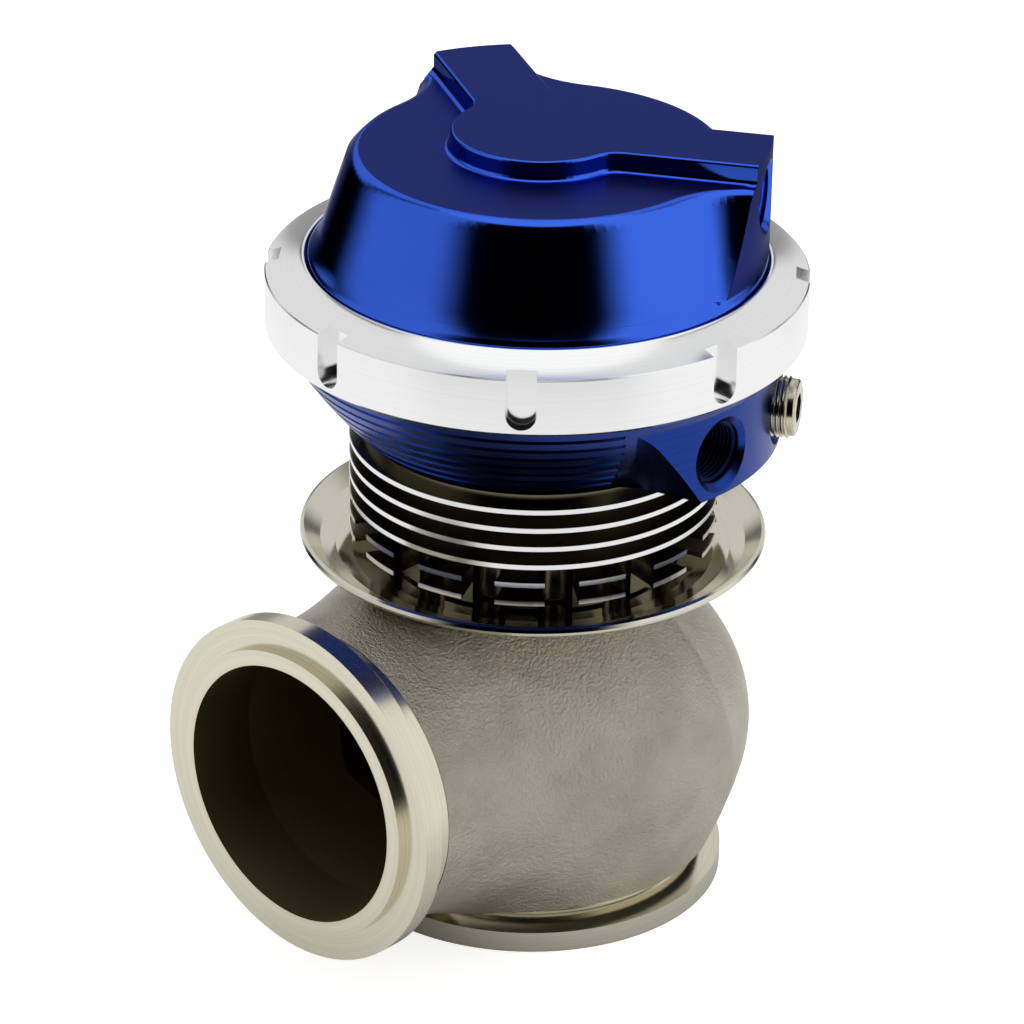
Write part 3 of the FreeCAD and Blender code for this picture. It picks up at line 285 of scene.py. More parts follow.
skin = bmesh.new()
wide, tall, middle = (size * MM for size in BALL)
bmesh.ops.create_uvsphere(
    skin, u_segments=96, v_segments=64, radius=1.0,
    matrix=Matrix.Translation((0, 0, middle)) @ Matrix.Diagonal((wide, wide, tall, 1)),
)
bmesh.ops.create_cone(
    skin, cap_ends=True, segments=96, radius1=BRANCH[0] * MM, radius2=BRANCH[0] * MM, depth=50 * MM,
    matrix=Matrix.Translation((0, -25 * MM, BRANCH[1] * MM)) @ Matrix.Rotation(pi / 2, 4, "X"),
)
bmesh.ops.create_cone(
    skin, cap_ends=True, segments=96, radius1=NECK[0] * MM, radius2=NECK[0] * MM, depth=10 * MM,
    matrix=Matrix.Translation((0, 0, 7 * MM)),
)
mesh = bpy.data.meshes.new("skin")
skin.to_mesh(mesh)
skin.free()
maker = bpy.data.objects.new("skin", mesh)
bpy.context.scene.collection.objects.link(maker)
change = maker.modifiers.new("one_skin", "REMESH")
change.mode = "VOXEL"
change.voxel_size = 0.85 * MM
evaluated(maker)
points = np.zeros(len(maker.data.vertices) * 3)
maker.data.vertices.foreach_get("co", points)
points = points.reshape(-1, 3) / MM
for step in range(5):
    gap = casting_distance(points)
    slope = np.stack([casting_distance(points + 0.01 * side) - gap for side in np.eye(3)], axis=1) / 0.01
    points -= slope * (gap / np.maximum((slope**2).sum(1), 0.2))[:, None]
outward = np.hypot(points[:, 0], points[:, 1])
roof = np.interp(outward, *zip(*SHIELD_UNDERSIDE))
points[:, 2] = np.minimum(points[:, 2], roof)
maker.data.vertices.foreach_set("co", (points * MM).ravel())
skin = bmesh.new()
skin.from_mesh(maker.data)
bpy.data.objects.remove(maker)
for at, normal in (((0, SKIN_ENDS[0] * MM, 0), (0, -1, 0)), ((0, 0, SKIN_ENDS[1] * MM), (0, 0, -1))):
    bmesh.ops.bisect_plane(
        skin, geom=skin.verts[:] + skin.edges[:] + skin.faces[:],
        plane_co=at, plane_no=normal, clear_outer=True,
    )
under_barrel = [f for f in skin.faces if f.calc_center_median().z > BARREL_SEAT[0] * MM
                and f.calc_center_median().xy.length < BARREL_SEAT[1] * MM]
bmesh.ops.delete(skin, geom=under_barrel, context="FACES")
cast, tree, shader = metal("cast_stainless", 0.32)
place = put(tree, "ShaderNodeTexCoord")
pebbles = put(tree, "ShaderNodeTexNoise", Scale=2100.0, Detail=4.0, Roughness=0.7)
dents = put(tree, "ShaderNodeTexNoise", Scale=1050.0, Detail=2.0)
clouds = put(tree, "ShaderNodeTexNoise", Scale=120.0, Detail=4.0)
for texture in (pebbles, dents, clouds):
    link(tree, place.outputs["Object"], texture.inputs["Vector"])
height = maths(tree, "ADD", pebbles.outputs["Fac"], maths(tree, "MULTIPLY", dents.outputs["Fac"], 0.8))
relief = put(tree, "ShaderNodeBump", Strength=1.0, Distance=0.00034)
link(tree, height, relief.inputs["Height"])
link(tree, relief.outputs[0], shader.inputs["Normal"])
tone = ramp(tree, clouds.outputs["Fac"], 0.25, 0.7)
link(tree, mixed(tree, tone, CAST_SHADE, CAST_STEEL), shader.inputs["Base Color"])
piece("housing_casting", skin, "root", cast, sharp=60)

# The valve seat is a turned steel ring, pressed in from below and held by an inside circlip.
# The poppet valve is turned from steel too, and its stem slides in a bronze guide above it.


def turned_metal(name, colour, roughness, rings=0.5, scratches=0.2, bump=0.05, darker=0.85):
    """Metal as it comes off a lathe, ringed about Z."""
    material, tree, shader = metal(name, roughness)
    place = put(tree, "ShaderNodeTexCoord")
    grain = use(tree, turned, Rings=rings, Scratches=scratches)
    link(tree, place.outputs["Object"], grain.inputs["Vector"])
    relief = put(tree, "ShaderNodeBump", Strength=bump, Distance=0.0001)
    link(tree, grain.outputs["Height"], relief.inputs["Height"])
    link(tree, relief.outputs[0], shader.inputs["Normal"])
    tone = ramp(tree, grain.outputs["Tone"], 0.3, 0.7)
    shade = tuple(darker * part for part in colour)
    link(tree, mixed(tree, tone, shade, colour), shader.inputs["Base Color"])
    return material


valve_steel = turned_metal("valve_steel", (0.36, 0.33, 0.29), 0.3)
seat_steel = turned_metal("seat_steel", (0.55, 0.52, 0.46), 0.25)
clip_steel = turned_metal("clip_steel", (0.10, 0.095, 0.09), 0.35)
bronze = turned_metal("bronze", (0.55, 0.33, 0.13), 0.3)
dress("valve_seat", seat_steel)
dress("seat_circlip", clip_steel)
dress("valve", valve_steel)
dress("valve_guide", bronze)

# The heat shield is a spun dish of polished stainless sheet with a rolled edge. It is
# clamped between the housing and the barrel with a thin steel gasket on it.
polished = turned_metal(
    "polished_stainless", (0.72, 0.685, 0.58), 0.11, rings=0.3, scratches=0.1, bump=0.008, darker=0.97,
)
dress("heat_shield", polished)
gasket = turned_metal("gasket_steel", (0.32, 0.30, 0.26), 0.45)
dress("shield_gasket", gasket)

# The barrel is turned from aluminium and anodised black. The edges of its fins are skimmed
# bright after that. Windows are cut through its lowest two fins, and six screws hold it.
FIN_RADIUS = 30.4
BARREL_BLACK = (0.16, 0.145, 0.10)
BRIGHT_EDGE = (0.88, 0.88, 0.88)
barrel_finish, tree, shader = metal("black_anodised", 0.22)
place = put(tree, "ShaderNodeTexCoord")
split = put(tree, "ShaderNodeSeparateXYZ")
link(tree, place.outputs["Object"], split.inputs[0])
fin_r = from_axis(tree, split.outputs["X"], split.outputs["Y"])
edge = ramp(tree, fin_r, (FIN_RADIUS - 0.2) * MM, (FIN_RADIUS - 0.1) * MM)
link(tree, mixed(tree, edge, BARREL_BLACK, BRIGHT_EDGE), shader.inputs["Base Color"])
dress("finned_barrel", barrel_finish)
black_steel = turned_metal("black_steel", (0.03, 0.03, 0.032), 0.35)
dress("barrel_bolts", black_steel)

# The lower housing is aluminium, anodised blue: a bowl with fine turned grooves and a lobe
# with two air ports. The open port shows its pipe thread, and flush screws hold the bowl.
BOWL_BLUE = (0.018, 0.052, 0.30)
PORT_Z = 89.0
LOBE_RADIUS = 40.3
PORT_RADIUS = 5.15
THREAD_PITCH = 0.82
THREAD_DEPTH = 0.5
OPEN_PORT = 0.0
PORT_PAINTED_SHADE = (0.004, 0.009, 0.045)
bowl_blue = turned_metal("bowl_blue", BOWL_BLUE, 0.26, rings=0.5, scratches=0.1, bump=0.02)
tree = bowl_blue.node_tree
shader = tree.nodes["Principled BSDF"]
place = put(tree, "ShaderNodeTexCoord")
laid = put(tree, "ShaderNodeMapping", vector_type="POINT")
laid.inputs["Location"].default_value = (0, 0, -PORT_Z * MM)
link(tree, place.outputs["Object"], laid.inputs["Vector"])
beside = put(tree, "ShaderNodeSeparateXYZ")
link(tree, laid.outputs[0], beside.inputs[0])
# Inside the open port the blue is painted dark, as shade where little light gets in.
from_port_axis = from_axis(tree, beside.outputs["Y"], beside.outputs["Z"])
past_wall = ramp(tree, from_port_axis, (PORT_RADIUS - 0.1) * MM, (PORT_RADIUS + 0.25) * MM)
in_port = maths(tree, "SUBTRACT", 1.0, past_wall)
in_port = maths(tree, "MULTIPLY", in_port, maths(tree, "GREATER_THAN", beside.outputs["X"], 0.0))
anodised = shader.inputs["Base Color"].links[0].from_socket
link(tree, mixed(tree, in_port, anodised, PORT_PAINTED_SHADE), shader.inputs["Base Color"])
dress("lower_housing", bowl_blue)
dress("housing_screws", black_steel)


def close_end(bm, made):
    """Closes the far end of a section that was spun along a helix."""
    last = [part for part in made["geom_last"] if isinstance(part, bmesh.types.BMVert)]
    bmesh.ops.contextual_create(bm, geom=last)
    bmesh.ops.recalc_face_normals(bm, faces=bm.faces)


def thread(radius, depth, length, steps=40):
    """A helical ridge about Z that starts at Z = 0. A negative depth points inwards."""
    bm = bmesh.new()
    half = 0.42 * THREAD_PITCH
    corners = [(radius, -half), (radius + depth, -0.06), (radius + depth, 0.06), (radius, half)]
    points = [bm.verts.new((r * MM, 0, z * MM)) for r, z in corners]
    edges = [bm.edges.new(pair) for pair in zip(points, points[1:] + points[:1])]
    bm.faces.new(points)
    turns = length / THREAD_PITCH
    count = int(turns * steps)
    made = bmesh.ops.spin(
        bm, geom=points + edges, cent=(0, 0, 0), axis=(0, 0, 1), dvec=(0, 0, THREAD_PITCH / steps * MM),
        angle=2 * pi * count / steps, steps=count,
    )
    close_end(bm, made)
    return bm


def into_port(bm, angle, height, start):
    """Lays a shape that was made about Z into a port that points away from the valve's axis."""
    turn = Matrix.Rotation(radians(angle), 4, "Z") @ Matrix.Rotation(pi / 2, 4, "Y")
    x, y = (start * part(radians(angle)) * MM for part in (cos, sin))
    bmesh.ops.transform(bm, matrix=Matrix.Translation((x, y, height * MM)) @ turn, verts=bm.verts)
    return bm


port_thread = thread(PORT_RADIUS + 0.05, -THREAD_DEPTH, 6.4)
into_port(port_thread, OPEN_PORT, PORT_Z, LOBE_RADIUS - 8.2)
piece("open_port_thread", port_thread, "root", bowl_blue, sharp=25)

# A nickel plated steel plug closes the other port. It has a taper pipe thread and a hexagon
# socket, and it stands out of the port by some of its threads.
PLUG_ANGLE = 30.0
PLUG_END = 43.5
PLUG_LENGTH = 11.2
PLUG_CORE = 4.7
PLUG_CREST = 5.08
PLUG_SOCKET = 4.5


def cut_away(made, cutter):
    """Takes one bmesh's shape out of a piece."""
    mesh = bpy.data.meshes.new("cutter")
    cutter.to_mesh(mesh)
    cutter.free()
    tool = bpy.data.objects.new("cutter", mesh)
    bpy.context.scene.collection.objects.link(tool)
    change = made.modifiers.new("cut", "BOOLEAN")
    change.solver = "EXACT"
    change.object = tool
    change.operation = "DIFFERENCE"
    evaluated(made)
    bpy.data.objects.remove(tool)


plated = turned_metal("plated_steel", (0.62, 0.57, 0.46), 0.18)
plug = bmesh.new()
bmesh.ops.create_cone(
    plug, cap_ends=True, segments=64, radius1=PLUG_CORE * MM, radius2=PLUG_CORE * MM,
    depth=PLUG_LENGTH * MM, matrix=Matrix.Translation((0, 0, PLUG_LENGTH / 2 * MM)),
)
rim = [edge for edge in plug.edges if all(v.co.z > (PLUG_LENGTH - 0.1) * MM for v in edge.verts)]
bmesh.ops.bevel(plug, geom=rim, offset=0.5 * MM, affect="EDGES", segments=3, profile=0.5, material=-1)
into_port(plug, PLUG_ANGLE, PORT_Z, PLUG_END - PLUG_LENGTH)
socket = bmesh.new()
bmesh.ops.create_cone(
    socket, cap_ends=True, segments=6, radius1=PLUG_SOCKET / sqrt(3) * MM, radius2=PLUG_SOCKET / sqrt(3) * MM,
    depth=9 * MM, matrix=Matrix.Translation((0, 0, PLUG_LENGTH * MM)),
)
into_port(socket, PLUG_ANGLE, PORT_Z, PLUG_END - PLUG_LENGTH)
port_plug = piece("port_plug_body", plug, "root", plated)
cut_away(port_plug, socket)
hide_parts("port_plug")
plug_thread = thread(PLUG_CORE - 0.05, PLUG_CREST - PLUG_CORE + 0.05, PLUG_LENGTH - 2.2)
into_port(plug_thread, PLUG_ANGLE, PORT_Z, PLUG_END - PLUG_LENGTH + 0.9)
piece("port_plug_thread", plug_thread, "root", plated, sharp=25)

# A rubber ring seals the bowl on the barrel, a plastic ring seals the stem, and a moulded
# rubber diaphragm divides the two air chambers.
RUBBER_DARK = (0.012, 0.012, 0.013)
RUBBER_GREY = (0.035, 0.035, 0.036)
rubber = bpy.data.materials.new("black_rubber")
rubber.use_nodes = True
tree = rubber.node_tree
shader = tree.nodes["Principled BSDF"]
shader.inputs["Roughness"].default_value = 0.55
place = put(tree, "ShaderNodeTexCoord")
fabric = put(tree, "ShaderNodeTexNoise", Scale=1500.0, Detail=2.0)
link(tree, place.outputs["Object"], fabric.inputs["Vector"])
link(tree, mixed(tree, fabric.outputs["Fac"], RUBBER_DARK, RUBBER_GREY), shader.inputs["Base Color"])
plastic = turned_metal("seal_plastic", (0.45, 0.18, 0.06), 0.4)
plastic.node_tree.nodes["Principled BSDF"].inputs["Metallic"].default_value = 0.0
dress("housing_oring", rubber)


def lathe(profile, steps=192):
    """A closed shape turned about Z from (radius, height) points in millimetres."""
    bm = bmesh.new()
    points = [bm.verts.new((r * MM, 0, z * MM)) for r, z in profile]
    edges = [bm.edges.new(pair) for pair in zip(points, points[1:] + points[:1])]
    bmesh.ops.spin(
        bm, geom=points + edges, cent=(0, 0, 0), axis=(0, 0, 1),
        angle=2 * pi, steps=steps, use_merge=True,
    )
    bmesh.ops.recalc_face_normals(bm, faces=bm.faces)
    return bm


CLAMPED = (104.5, 105.7)
DISC = (92.5, 93.7)
DISC_RADIUS = 28.6
DISC_BORE = 3.1
CUP_RADIUS = 33.15
RIM_RADIUS = 39.5
diaphragm = lathe([
    (DISC_BORE, DISC[0]), (DISC_RADIUS, DISC[0]), (DISC_RADIUS + 1.1, DISC[0] + 0.7),
    (CUP_RADIUS - 0.9, CLAMPED[0] - 2.6),
    (CUP_RADIUS, CLAMPED[0] - 0.6), (CUP_RADIUS + 0.6, CLAMPED[0]), (RIM_RADIUS, CLAMPED[0]),
    (RIM_RADIUS, CLAMPED[1]),
    (CUP_RADIUS - 0.9, CLAMPED[1]), (CUP_RADIUS - 1.7, CLAMPED[1] - 0.8), (DISC_RADIUS - 0.2, DISC[1] + 0.5),
    (DISC_RADIUS - 1.0, DISC[1]), (DISC_BORE, DISC[1]),
])
cup = piece("diaphragm_cup", diaphragm, None, rubber, sharp=60)
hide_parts("diaphragm")
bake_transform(cup)
dress("stem_seal", plastic)

# The piston and the spring retainer are turned from aluminium. They pinch the diaphragm from
# below and above, and a plated steel nut draws them onto the valve's stem.
bright = turned_metal(
    "bright_aluminium", (0.91, 0.91, 0.90), 0.14, rings=0.6, scratches=0.1, bump=0.08, darker=0.93,
)
dress("piston", bright)
dress("spring_retainer", bright)
dress("stem_nut", plated)

# Two chrome-silicon springs push the valve shut. They are wound from round wire, with the
# last turn of each end ground flat, and they stand in the retainer under the cap.
SPRING_ENDS = (95.2, 126.5)
SPRINGS = {"outer_spring": (23.6, 2.8, 4.5), "inner_spring": (12.4, 2.4, 5.5)}
spring_steel = turned_metal("spring_steel", (0.12, 0.12, 0.13), 0.3)
for name, (radius, wire, turns) in SPRINGS.items():
    coil = bmesh.new()
    bmesh.ops.create_circle(
        coil, cap_ends=True, segments=14, radius=wire / 2 * MM,
        matrix=Matrix.Translation((radius * MM, 0, (SPRING_ENDS[0] + wire / 2 + 0.1) * MM))
        @ Matrix.Rotation(pi / 2, 4, "X"),
    )
    count = int(turns * 36)
    rise = (SPRING_ENDS[1] - SPRING_ENDS[0] - wire - 0.2) / count
    section = coil.verts[:] + coil.edges[:]
    made = bmesh.ops.spin(
        coil, geom=section, cent=(0, 0, 0), axis=(0, 0, 1), dvec=(0, 0, rise * MM),
        angle=2 * pi * turns, steps=count,
    )
    close_end(coil, made)
    wound = piece(name + "_coil", coil, "cap", spring_steel, sharp=50)
    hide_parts(name)
    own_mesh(wound)

# The actuator cap is milled from aluminium and anodised a clear deep blue over a bright
# finish. Its foot flares out softly to the collar. Its flat tops are blasted before that; they and the arm
# ends are painted a darker navy, as shade.
CAP_BLUE = (0.046, 0.140, 0.80)
SATIN_NAVY_PAINTED_SHADE = (0.022, 0.030, 0.185)
EDGE_TINT = (0.55, 0.58, 0.75)
ARM_END_RADIUS = 37.2
ARMS = (30.0, 150.0)
ARM_HALF_ANGLE = 13.5
ARM_FOOT = 113.5
CAP_NECK = 37.2
FLARE = (111.0, 115.45)
CONE_FOOT = (35.6, 113.6, 0.325)
FLARE_LEAN = (40.0, 18.0)
FLARE_ROUND = (2.2, 9.1)
FLARE_INSIDE = 34.0
FADE_ANGLE = 4.0
FADE_REACH = 0.8


def flare_profile():
    """The foot's outline: round above the collar, then hollow into the cone."""
    outline = [(CAP_NECK, FLARE[0], 0.0)]
    r, z, turn = outline[0]
    for turn in np.radians(np.linspace(0, FLARE_LEAN[0], 9))[1:]:
        outline.append((r - FLARE_ROUND[0] * (1 - cos(turn)), z + FLARE_ROUND[0] * sin(turn), turn))
    r, z, first = outline[-1]
    for turn in np.radians(np.linspace(FLARE_LEAN[0], FLARE_LEAN[1], 9))[1:]:
        outward = FLARE_ROUND[1] * (cos(turn) - cos(first))
        outline.append((r - outward, z + FLARE_ROUND[1] * (sin(first) - sin(turn)), turn))
    return outline


def modelled_radius(z):
    """The outline of the frame's own cap: neck, shoulder and cone."""
    shoulder = [(CAP_NECK, 112.2), (37.02, 112.75), (36.7, 113.2), (36.2, 113.5), (35.6, 113.6)]
    radii, heights = zip(*shoulder)
    cone = CONE_FOOT[0] - CONE_FOOT[2] * (z - CONE_FOOT[1])
    return np.where(z > CONE_FOOT[1], cone, np.interp(z, heights, radii))


cap = bmesh.new()
cap.from_mesh(nodes["actuator_cap"].data)
bmesh.ops.remove_doubles(cap, verts=cap.verts, dist=0.003 * MM)
outline = flare_profile()
for r, z, lean in outline:
    bmesh.ops.bisect_plane(
        cap, geom=cap.verts[:] + cap.edges[:] + cap.faces[:],
        plane_co=(0, 0, z * MM), plane_no=(0, 0, 1), dist=0.0001 * MM,
    )

# Each corner keeps the shading that it has on the frame's cap, also after the cuts.
source = nodes["actuator_cap"].data
triangles = [tuple(face.vertices) for face in source.polygons]
nearest = BVHTree.FromPolygons([vert.co for vert in source.vertices], triangles)
shading = []
for face in cap.faces:
    middle = face.calc_center_median()
    for corner in face.loops:
        at = nearest.find_nearest(corner.vert.co.lerp(middle, 0.3))[2]
        shares = poly_3d_calc([source.vertices[i].co for i in triangles[at]], corner.vert.co)
        blend = Vector()
        for share, loop in zip(shares, source.polygons[at].loop_indices):
            blend += share * source.corner_normals[loop].vector
        shading.append(blend.normalized())

# The deck's rounded edge, the web's hollow foot and its top edge are in a few flat steps, so
# their shading turns with the height, from the lean at one level to the lean at the next.
ROUNDED = (
    ((127.8, 128.7, 129.36, 129.6), (18.0, 38.0, 62.0, 90.0)),
    ((129.6, 130.5), (88.0, 2.0)),
    ((132.6, 133.1), (2.0, 88.0)),
)
count = 0
for face in cap.faces:
    tilt = face.normal.z
    height = face.calc_center_median().z / MM
    for corner in face.loops:
        for levels, tilts in ROUNDED:
            if levels[0] < height < levels[-1] and 0.4 < tilt < 0.98:
                lean = radians(float(np.interp(corner.vert.co.z / MM, levels, tilts)))
                outward = face.normal.xy.normalized() * cos(lean)
                shading[count] = Vector((outward.x, outward.y, sin(lean)))
        count += 1

radii, heights, leans = zip(*outline)
flared = {}
cap.verts.index_update()
for vert in cap.verts:
    z = vert.co.z / MM
    r = vert.co.xy.length / MM
    if r < FLARE_INSIDE or not FLARE[0] < z < heights[-1]:
        continue
    angle = atan2(vert.co.y, vert.co.x) * 180 / pi
    off_arm = min(abs(angle - arm) for arm in ARMS)
    share = min(max((off_arm - ARM_HALF_ANGLE) / FADE_ANGLE, 0.0), 1.0)
    was = float(modelled_radius(z))
    share *= min(max(1 - (r - was) / FADE_REACH, 0.0), 1.0)
    moved = r + (float(np.interp(z, heights, radii)) - was) * share
    vert.co.x *= moved / r
    vert.co.y *= moved / r
    lean = float(np.interp(z, heights, leans))
    outward = vert.co.xy.normalized() * cos(lean)
    flared[vert.index] = (share, Vector((outward.x, outward.y, sin(lean))))
for normal, corner in zip(shading, [corner for face in cap.faces for corner in face.loops]):
    if corner.vert.index in flared:
        share, wanted = flared[corner.vert.index]
        normal.xyz = normal.lerp(wanted, share).normalized()

cap_blue, tree, shader = metal("cap_blue", 0.14)
shader.inputs["Specular Tint"].default_value = (*EDGE_TINT, 1.0)
place = put(tree, "ShaderNodeTexCoord")
where = put(tree, "ShaderNodeSeparateXYZ")
link(tree, place.outputs["Object"], where.inputs[0])
facing = put(tree, "ShaderNodeSeparateXYZ")
link(tree, place.outputs["Normal"], facing.inputs[0])
blasted = put(tree, "ShaderNodeTexNoise", Scale=2500.0, Detail=2.0)
link(tree, place.outputs["Object"], blasted.inputs["Vector"])
clouds = put(tree, "ShaderNodeTexNoise", Scale=45.0, Detail=2.0)
link(tree, place.outputs["Object"], clouds.inputs["Vector"])
# Flat tops and arm ends: blasted satin, with more roughness and a fine grain, and a darker colour that is
# painted shade.
flat_top = ramp(tree, facing.outputs["Z"], 0.97, 0.995)
cap_r = from_axis(tree, where.outputs["X"], where.outputs["Y"])
arm_end = maths(tree, "GREATER_THAN", cap_r, (ARM_END_RADIUS - 0.08) * MM)
arm_end = maths(tree, "MULTIPLY", arm_end, maths(tree, "GREATER_THAN", where.outputs["Z"], ARM_FOOT * MM))
satin_and_painted_shade = maths(tree, "MAXIMUM", flat_top, arm_end)
tone = ramp(tree, clouds.outputs["Fac"], 0.3, 0.7)
clear_blue = mixed(tree, tone, tuple(0.93 * part for part in CAP_BLUE), CAP_BLUE)
link(tree, mixed(tree, satin_and_painted_shade, clear_blue, SATIN_NAVY_PAINTED_SHADE), shader.inputs["Base Color"])
link(tree, maths(tree, "ADD", maths(tree, "MULTIPLY", satin_and_painted_shade, 0.24), 0.13), shader.inputs["Roughness"])
relief = put(tree, "ShaderNodeBump", Strength=0.03, Distance=0.0001)
link(tree, maths(tree, "MULTIPLY", satin_and_painted_shade, blasted.outputs["Fac"]), relief.inputs["Height"])
link(tree, relief.outputs[0], shader.inputs["Normal"])
cap_body = piece("cap_body", cap, "cap", cap_blue, sharp=180)
cap_body.data.normals_split_custom_set(shading)
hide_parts("actuator_cap")
CAP_PORT = (125.2, 36.2, 7.0)
for arm, side in zip(ARMS, ("right", "left")):
    arm_thread = thread(PORT_RADIUS + 0.05, -THREAD_DEPTH, CAP_PORT[2])
    into_port(arm_thread, arm, CAP_PORT[0], CAP_PORT[1] - CAP_PORT[2] - 0.6)
    piece("cap_port_thread_" + side, arm_thread, "cap", cap_blue, sharp=25)

# The locking collar is turned from bare aluminium: a clean wall, a hollow slope up to a thin
# lip round the cap, and eight slots for its spanner. A steel pin keeps the cap from turning.
COLLAR_RADIUS = 44.0
COLLAR_BORE = 40.05
COLLAR_LEVELS = (99.5, 109.1, 111.55)
COLLAR_INNER = 37.55
LIP_UNDERSIDE = 108.4
SLOPE_SAG = 0.2
SLOTS = (8, -50.6, 4.75, 2.3, 1.1)


def slope(steps=14):
    """The collar's top, from its edge up to the lip, as a shallow hollow arc."""
    start = Vector((COLLAR_RADIUS - 0.2, COLLAR_LEVELS[1]))
    end = Vector((COLLAR_INNER + 0.55, COLLAR_LEVELS[2] - 0.14))
    run = end - start
    out = Vector((run.y, -run.x)).normalized()
    shares = np.linspace(0, 1, steps)
    return [tuple(start + run * t - out * (4 * SLOPE_SAG * t * (1 - t))) for t in shares]


collar_metal = turned_metal(
    "bare_aluminium", (0.95, 0.955, 0.95), 0.16, rings=0.4, scratches=0.1, bump=0.012, darker=0.98,
)
collar = piece("collar_body", lathe([
    (COLLAR_BORE, COLLAR_LEVELS[0]),
    (COLLAR_RADIUS - 0.5, COLLAR_LEVELS[0]),
    (COLLAR_RADIUS, COLLAR_LEVELS[0] + 0.5),
    (COLLAR_RADIUS, COLLAR_LEVELS[1] - 0.22),
    *slope(),
    (COLLAR_INNER + 0.42, COLLAR_LEVELS[2]),
    (COLLAR_INNER + 0.1, COLLAR_LEVELS[2]),
    (COLLAR_INNER, COLLAR_LEVELS[2] - 0.1),
    (COLLAR_INNER, LIP_UNDERSIDE),
    (COLLAR_BORE, LIP_UNDERSIDE),
]), "collar", collar_metal, sharp=30)
slots = bmesh.new()
count, first, width, depth, foot = SLOTS
for i in range(count):
    slot = bmesh.new()
    height = 16.0
    middle = COLLAR_LEVELS[0] + foot + width / 2
    bmesh.ops.create_cone(
        slot, cap_ends=True, segments=48, radius1=width / 2 * MM, radius2=width / 2 * MM, depth=8 * MM,
        matrix=Matrix.Translation(((COLLAR_RADIUS - depth + 4) * MM, 0, middle * MM))
        @ Matrix.Rotation(pi / 2, 4, "Y"),
    )
    upper = [vert for vert in slot.verts if vert.co.z > (middle + 0.01) * MM]
    for vert in upper:
        vert.co.z = (middle + height) * MM
    bmesh.ops.rotate(slot, verts=slot.verts, cent=(0, 0, 0),
                     matrix=Matrix.Rotation(radians(first + i * 360 / count), 3, "Z"))
    mesh = bpy.data.meshes.new("slot")
    slot.to_mesh(mesh)
    slot.free()
    slots.from_mesh(mesh)
    bpy.data.meshes.remove(mesh)
cut_away(collar, slots)
edges = collar.modifiers.new("fine_edges", "BEVEL")
edges.width = 0.12 * MM
edges.segments = 2
edges.limit_method = "ANGLE"
edges.angle_limit = radians(40)
edges.harden_normals = True
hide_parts("locking_collar")
dress("index_pin", plated)

# The studio is a pale floor under a soft sky: one wide light at each side, one behind the
# object and one overhead, with the dark of the room behind the camera.
CAMERA_AZIMUTH = -47.5
SIDE_LIGHTS = ((-80.0, 20.0, 0.7), (80.0, 25.0, 0.95))
SIDE_SOFTNESS = 25.0
SKY_BACK = 0.75
SKY_BACK_LOW = 0.3
FLOOR_LEVEL = 0.95


def side_lights(tree, azimuth):
    """The two side lights and the low back light, by the angle round the object."""
    away = maths(tree, "ABSOLUTE", azimuth)
    level = maths(tree, "MULTIPLY", ramp(tree, away, 140.0, 170.0), SKY_BACK_LOW)
    for centre, half_width, strength in SIDE_LIGHTS:
        off = maths(tree, "ABSOLUTE", maths(tree, "SUBTRACT", azimuth, centre))
        dark = ramp(tree, off, half_width, half_width + SIDE_SOFTNESS)
        light = maths(tree, "MULTIPLY", maths(tree, "SUBTRACT", 1.0, dark), strength)
        level = maths(tree, "MAXIMUM", level, light)
    return level


def azimuth_of(tree, vector):
    """The angle round the object of a vector, in degrees from the camera's azimuth."""
    turn = put(tree, "ShaderNodeVectorRotate", rotation_type="Z_AXIS", Angle=radians(-CAMERA_AZIMUTH))
    link(tree, vector, turn.inputs["Vector"])
    apart = put(tree, "ShaderNodeSeparateXYZ")
    link(tree, turn.outputs[0], apart.inputs[0])
    angle = maths(tree, "ARCTAN2", apart.outputs["Y"], apart.outputs["X"])
    return maths(tree, "MULTIPLY", angle, 180.0 / pi)


bpy.ops.mesh.primitive_plane_add(size=8.0)
floor = bpy.context.object
floor.name = "studio_floor"
floor_paint = bpy.data.materials.new("studio_floor")
floor_paint.use_nodes = True
tree = floor_paint.node_tree
shader = tree.nodes["Principled BSDF"]
shader.inputs["Base Color"].default_value = (0.85, 0.85, 0.84, 1.0)
shader.inputs["Roughness"].default_value = 0.9
shader.inputs["Emission Color"].default_value = (1.0, 1.0, 0.99, 1.0)
rays = put(tree, "ShaderNodeLightPath")
seen = maths(tree, "MAXIMUM", rays.outputs["Is Camera Ray"], rays.outputs["Is Transmission Ray"])
link(tree, maths(tree, "MULTIPLY", seen, 0.78), shader.inputs["Emission Strength"])
place = put(tree, "ShaderNodeTexCoord")
distance = put(tree, "ShaderNodeVectorMath", operation="LENGTH")
link(tree, place.outputs["Object"], distance.inputs[0])
far = ramp(tree, distance.outputs["Value"], 0.24, 0.42)
level = side_lights(tree, azimuth_of(tree, place.outputs["Object"]))
# For glossy rays the floor is an emission: painted shade near the object, from its occlusion, and painted
# light towards the side lights.
shaded = put(tree, "ShaderNodeAmbientOcclusion", samples=8, Distance=0.11)
lit = maths(tree, "MULTIPLY", shaded.outputs["AO"], FLOOR_LEVEL)
near_level = maths(tree, "MULTIPLY", maths(tree, "SUBTRACT", 1.0, far), lit)
mirrored = put(tree, "ShaderNodeEmission")
link(tree, maths(tree, "ADD", near_level, maths(tree, "MULTIPLY", far, level)), mirrored.inputs["Strength"])
either = put(tree, "ShaderNodeMixShader")
link(tree, rays.outputs["Is Glossy Ray"], either.inputs[0])
link(tree, shader.outputs[0], either.inputs[1])
link(tree, mirrored.outputs[0], either.inputs[2])
link(tree, either.outputs[0], tree.nodes["Material Output"].inputs["Surface"])
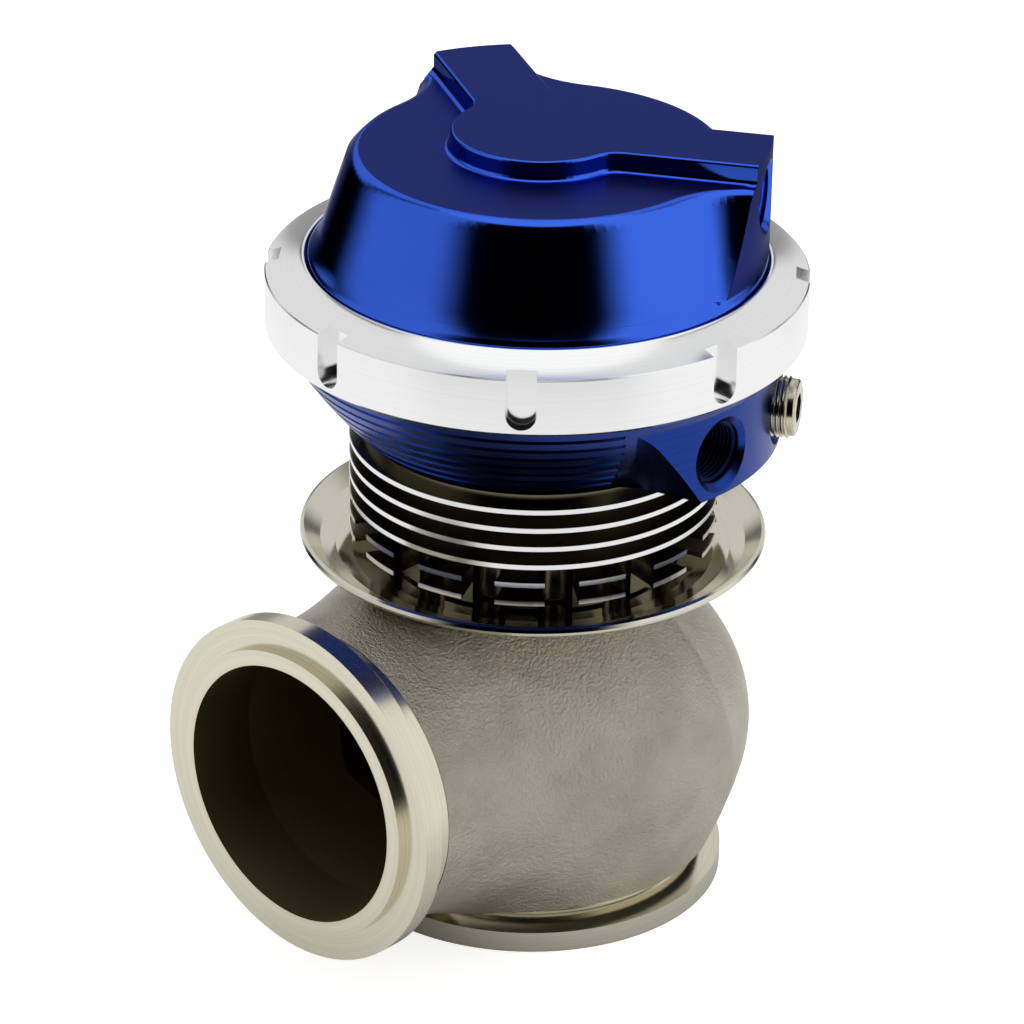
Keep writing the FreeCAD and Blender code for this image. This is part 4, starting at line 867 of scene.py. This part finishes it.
floor.data.materials.append(floor_paint)

world = bpy.data.worlds.new("studio")
bpy.context.scene.world = world
world.use_nodes = True
tree = world.node_tree
background = tree.nodes["Background"]
place = put(tree, "ShaderNodeTexCoord")
split = put(tree, "ShaderNodeSeparateXYZ")
link(tree, place.outputs["Generated"], split.inputs[0])
azimuth = azimuth_of(tree, place.outputs["Generated"])
elevation = maths(tree, "MULTIPLY", maths(tree, "ARCSINE", split.outputs["Z"]), 180.0 / pi)
low = side_lights(tree, azimuth)
back = maths(tree, "MULTIPLY", ramp(tree, maths(tree, "ABSOLUTE", azimuth), 112.0, 135.0), SKY_BACK)
back = maths(tree, "MULTIPLY", back, ramp(tree, elevation, 2.0, 15.0))
overhead = ramp(tree, elevation, 54.0, 64.0)
light = maths(tree, "MAXIMUM", maths(tree, "MAXIMUM", low, back), overhead)
rays = put(tree, "ShaderNodeLightPath")
white = maths(tree, "MAXIMUM", light, rays.outputs["Is Camera Ray"])
link(tree, white, background.inputs["Strength"])
background.inputs["Color"].default_value = (1.0, 1.0, 1.0, 1.0)

# The camera stands where the photograph's did, a little above and to one side of the outlet.
# Its place, aim, roll and lens were fitted to the circles that show in the photograph.
TARGET = Vector((-2.55, -2.34, 64.75)) * MM
DISTANCE = 0.792
AZIMUTH, ELEVATION, ROLL = radians(42.46), radians(26.47), radians(0.92)
back = Vector((sin(AZIMUTH) * cos(ELEVATION), -cos(AZIMUTH) * cos(ELEVATION), sin(ELEVATION)))
level = Vector((0, 0, 1)).cross(back).normalized()
upright = back.cross(level)
right = level * cos(ROLL) + upright * sin(ROLL)
up = back.cross(right)
lens = bpy.data.cameras.new("camera")
lens.lens = 168.4
lens.sensor_width = 36.0
lens.clip_start = 0.05
camera = bpy.data.objects.new("camera", lens)
facing = Matrix((right, up, back)).transposed().to_4x4()
camera.matrix_world = Matrix.Translation(TARGET + back * DISTANCE) @ facing
bpy.context.scene.collection.objects.link(camera)
bpy.context.scene.camera = camera
bpy.context.scene.view_settings.view_transform = "Standard"
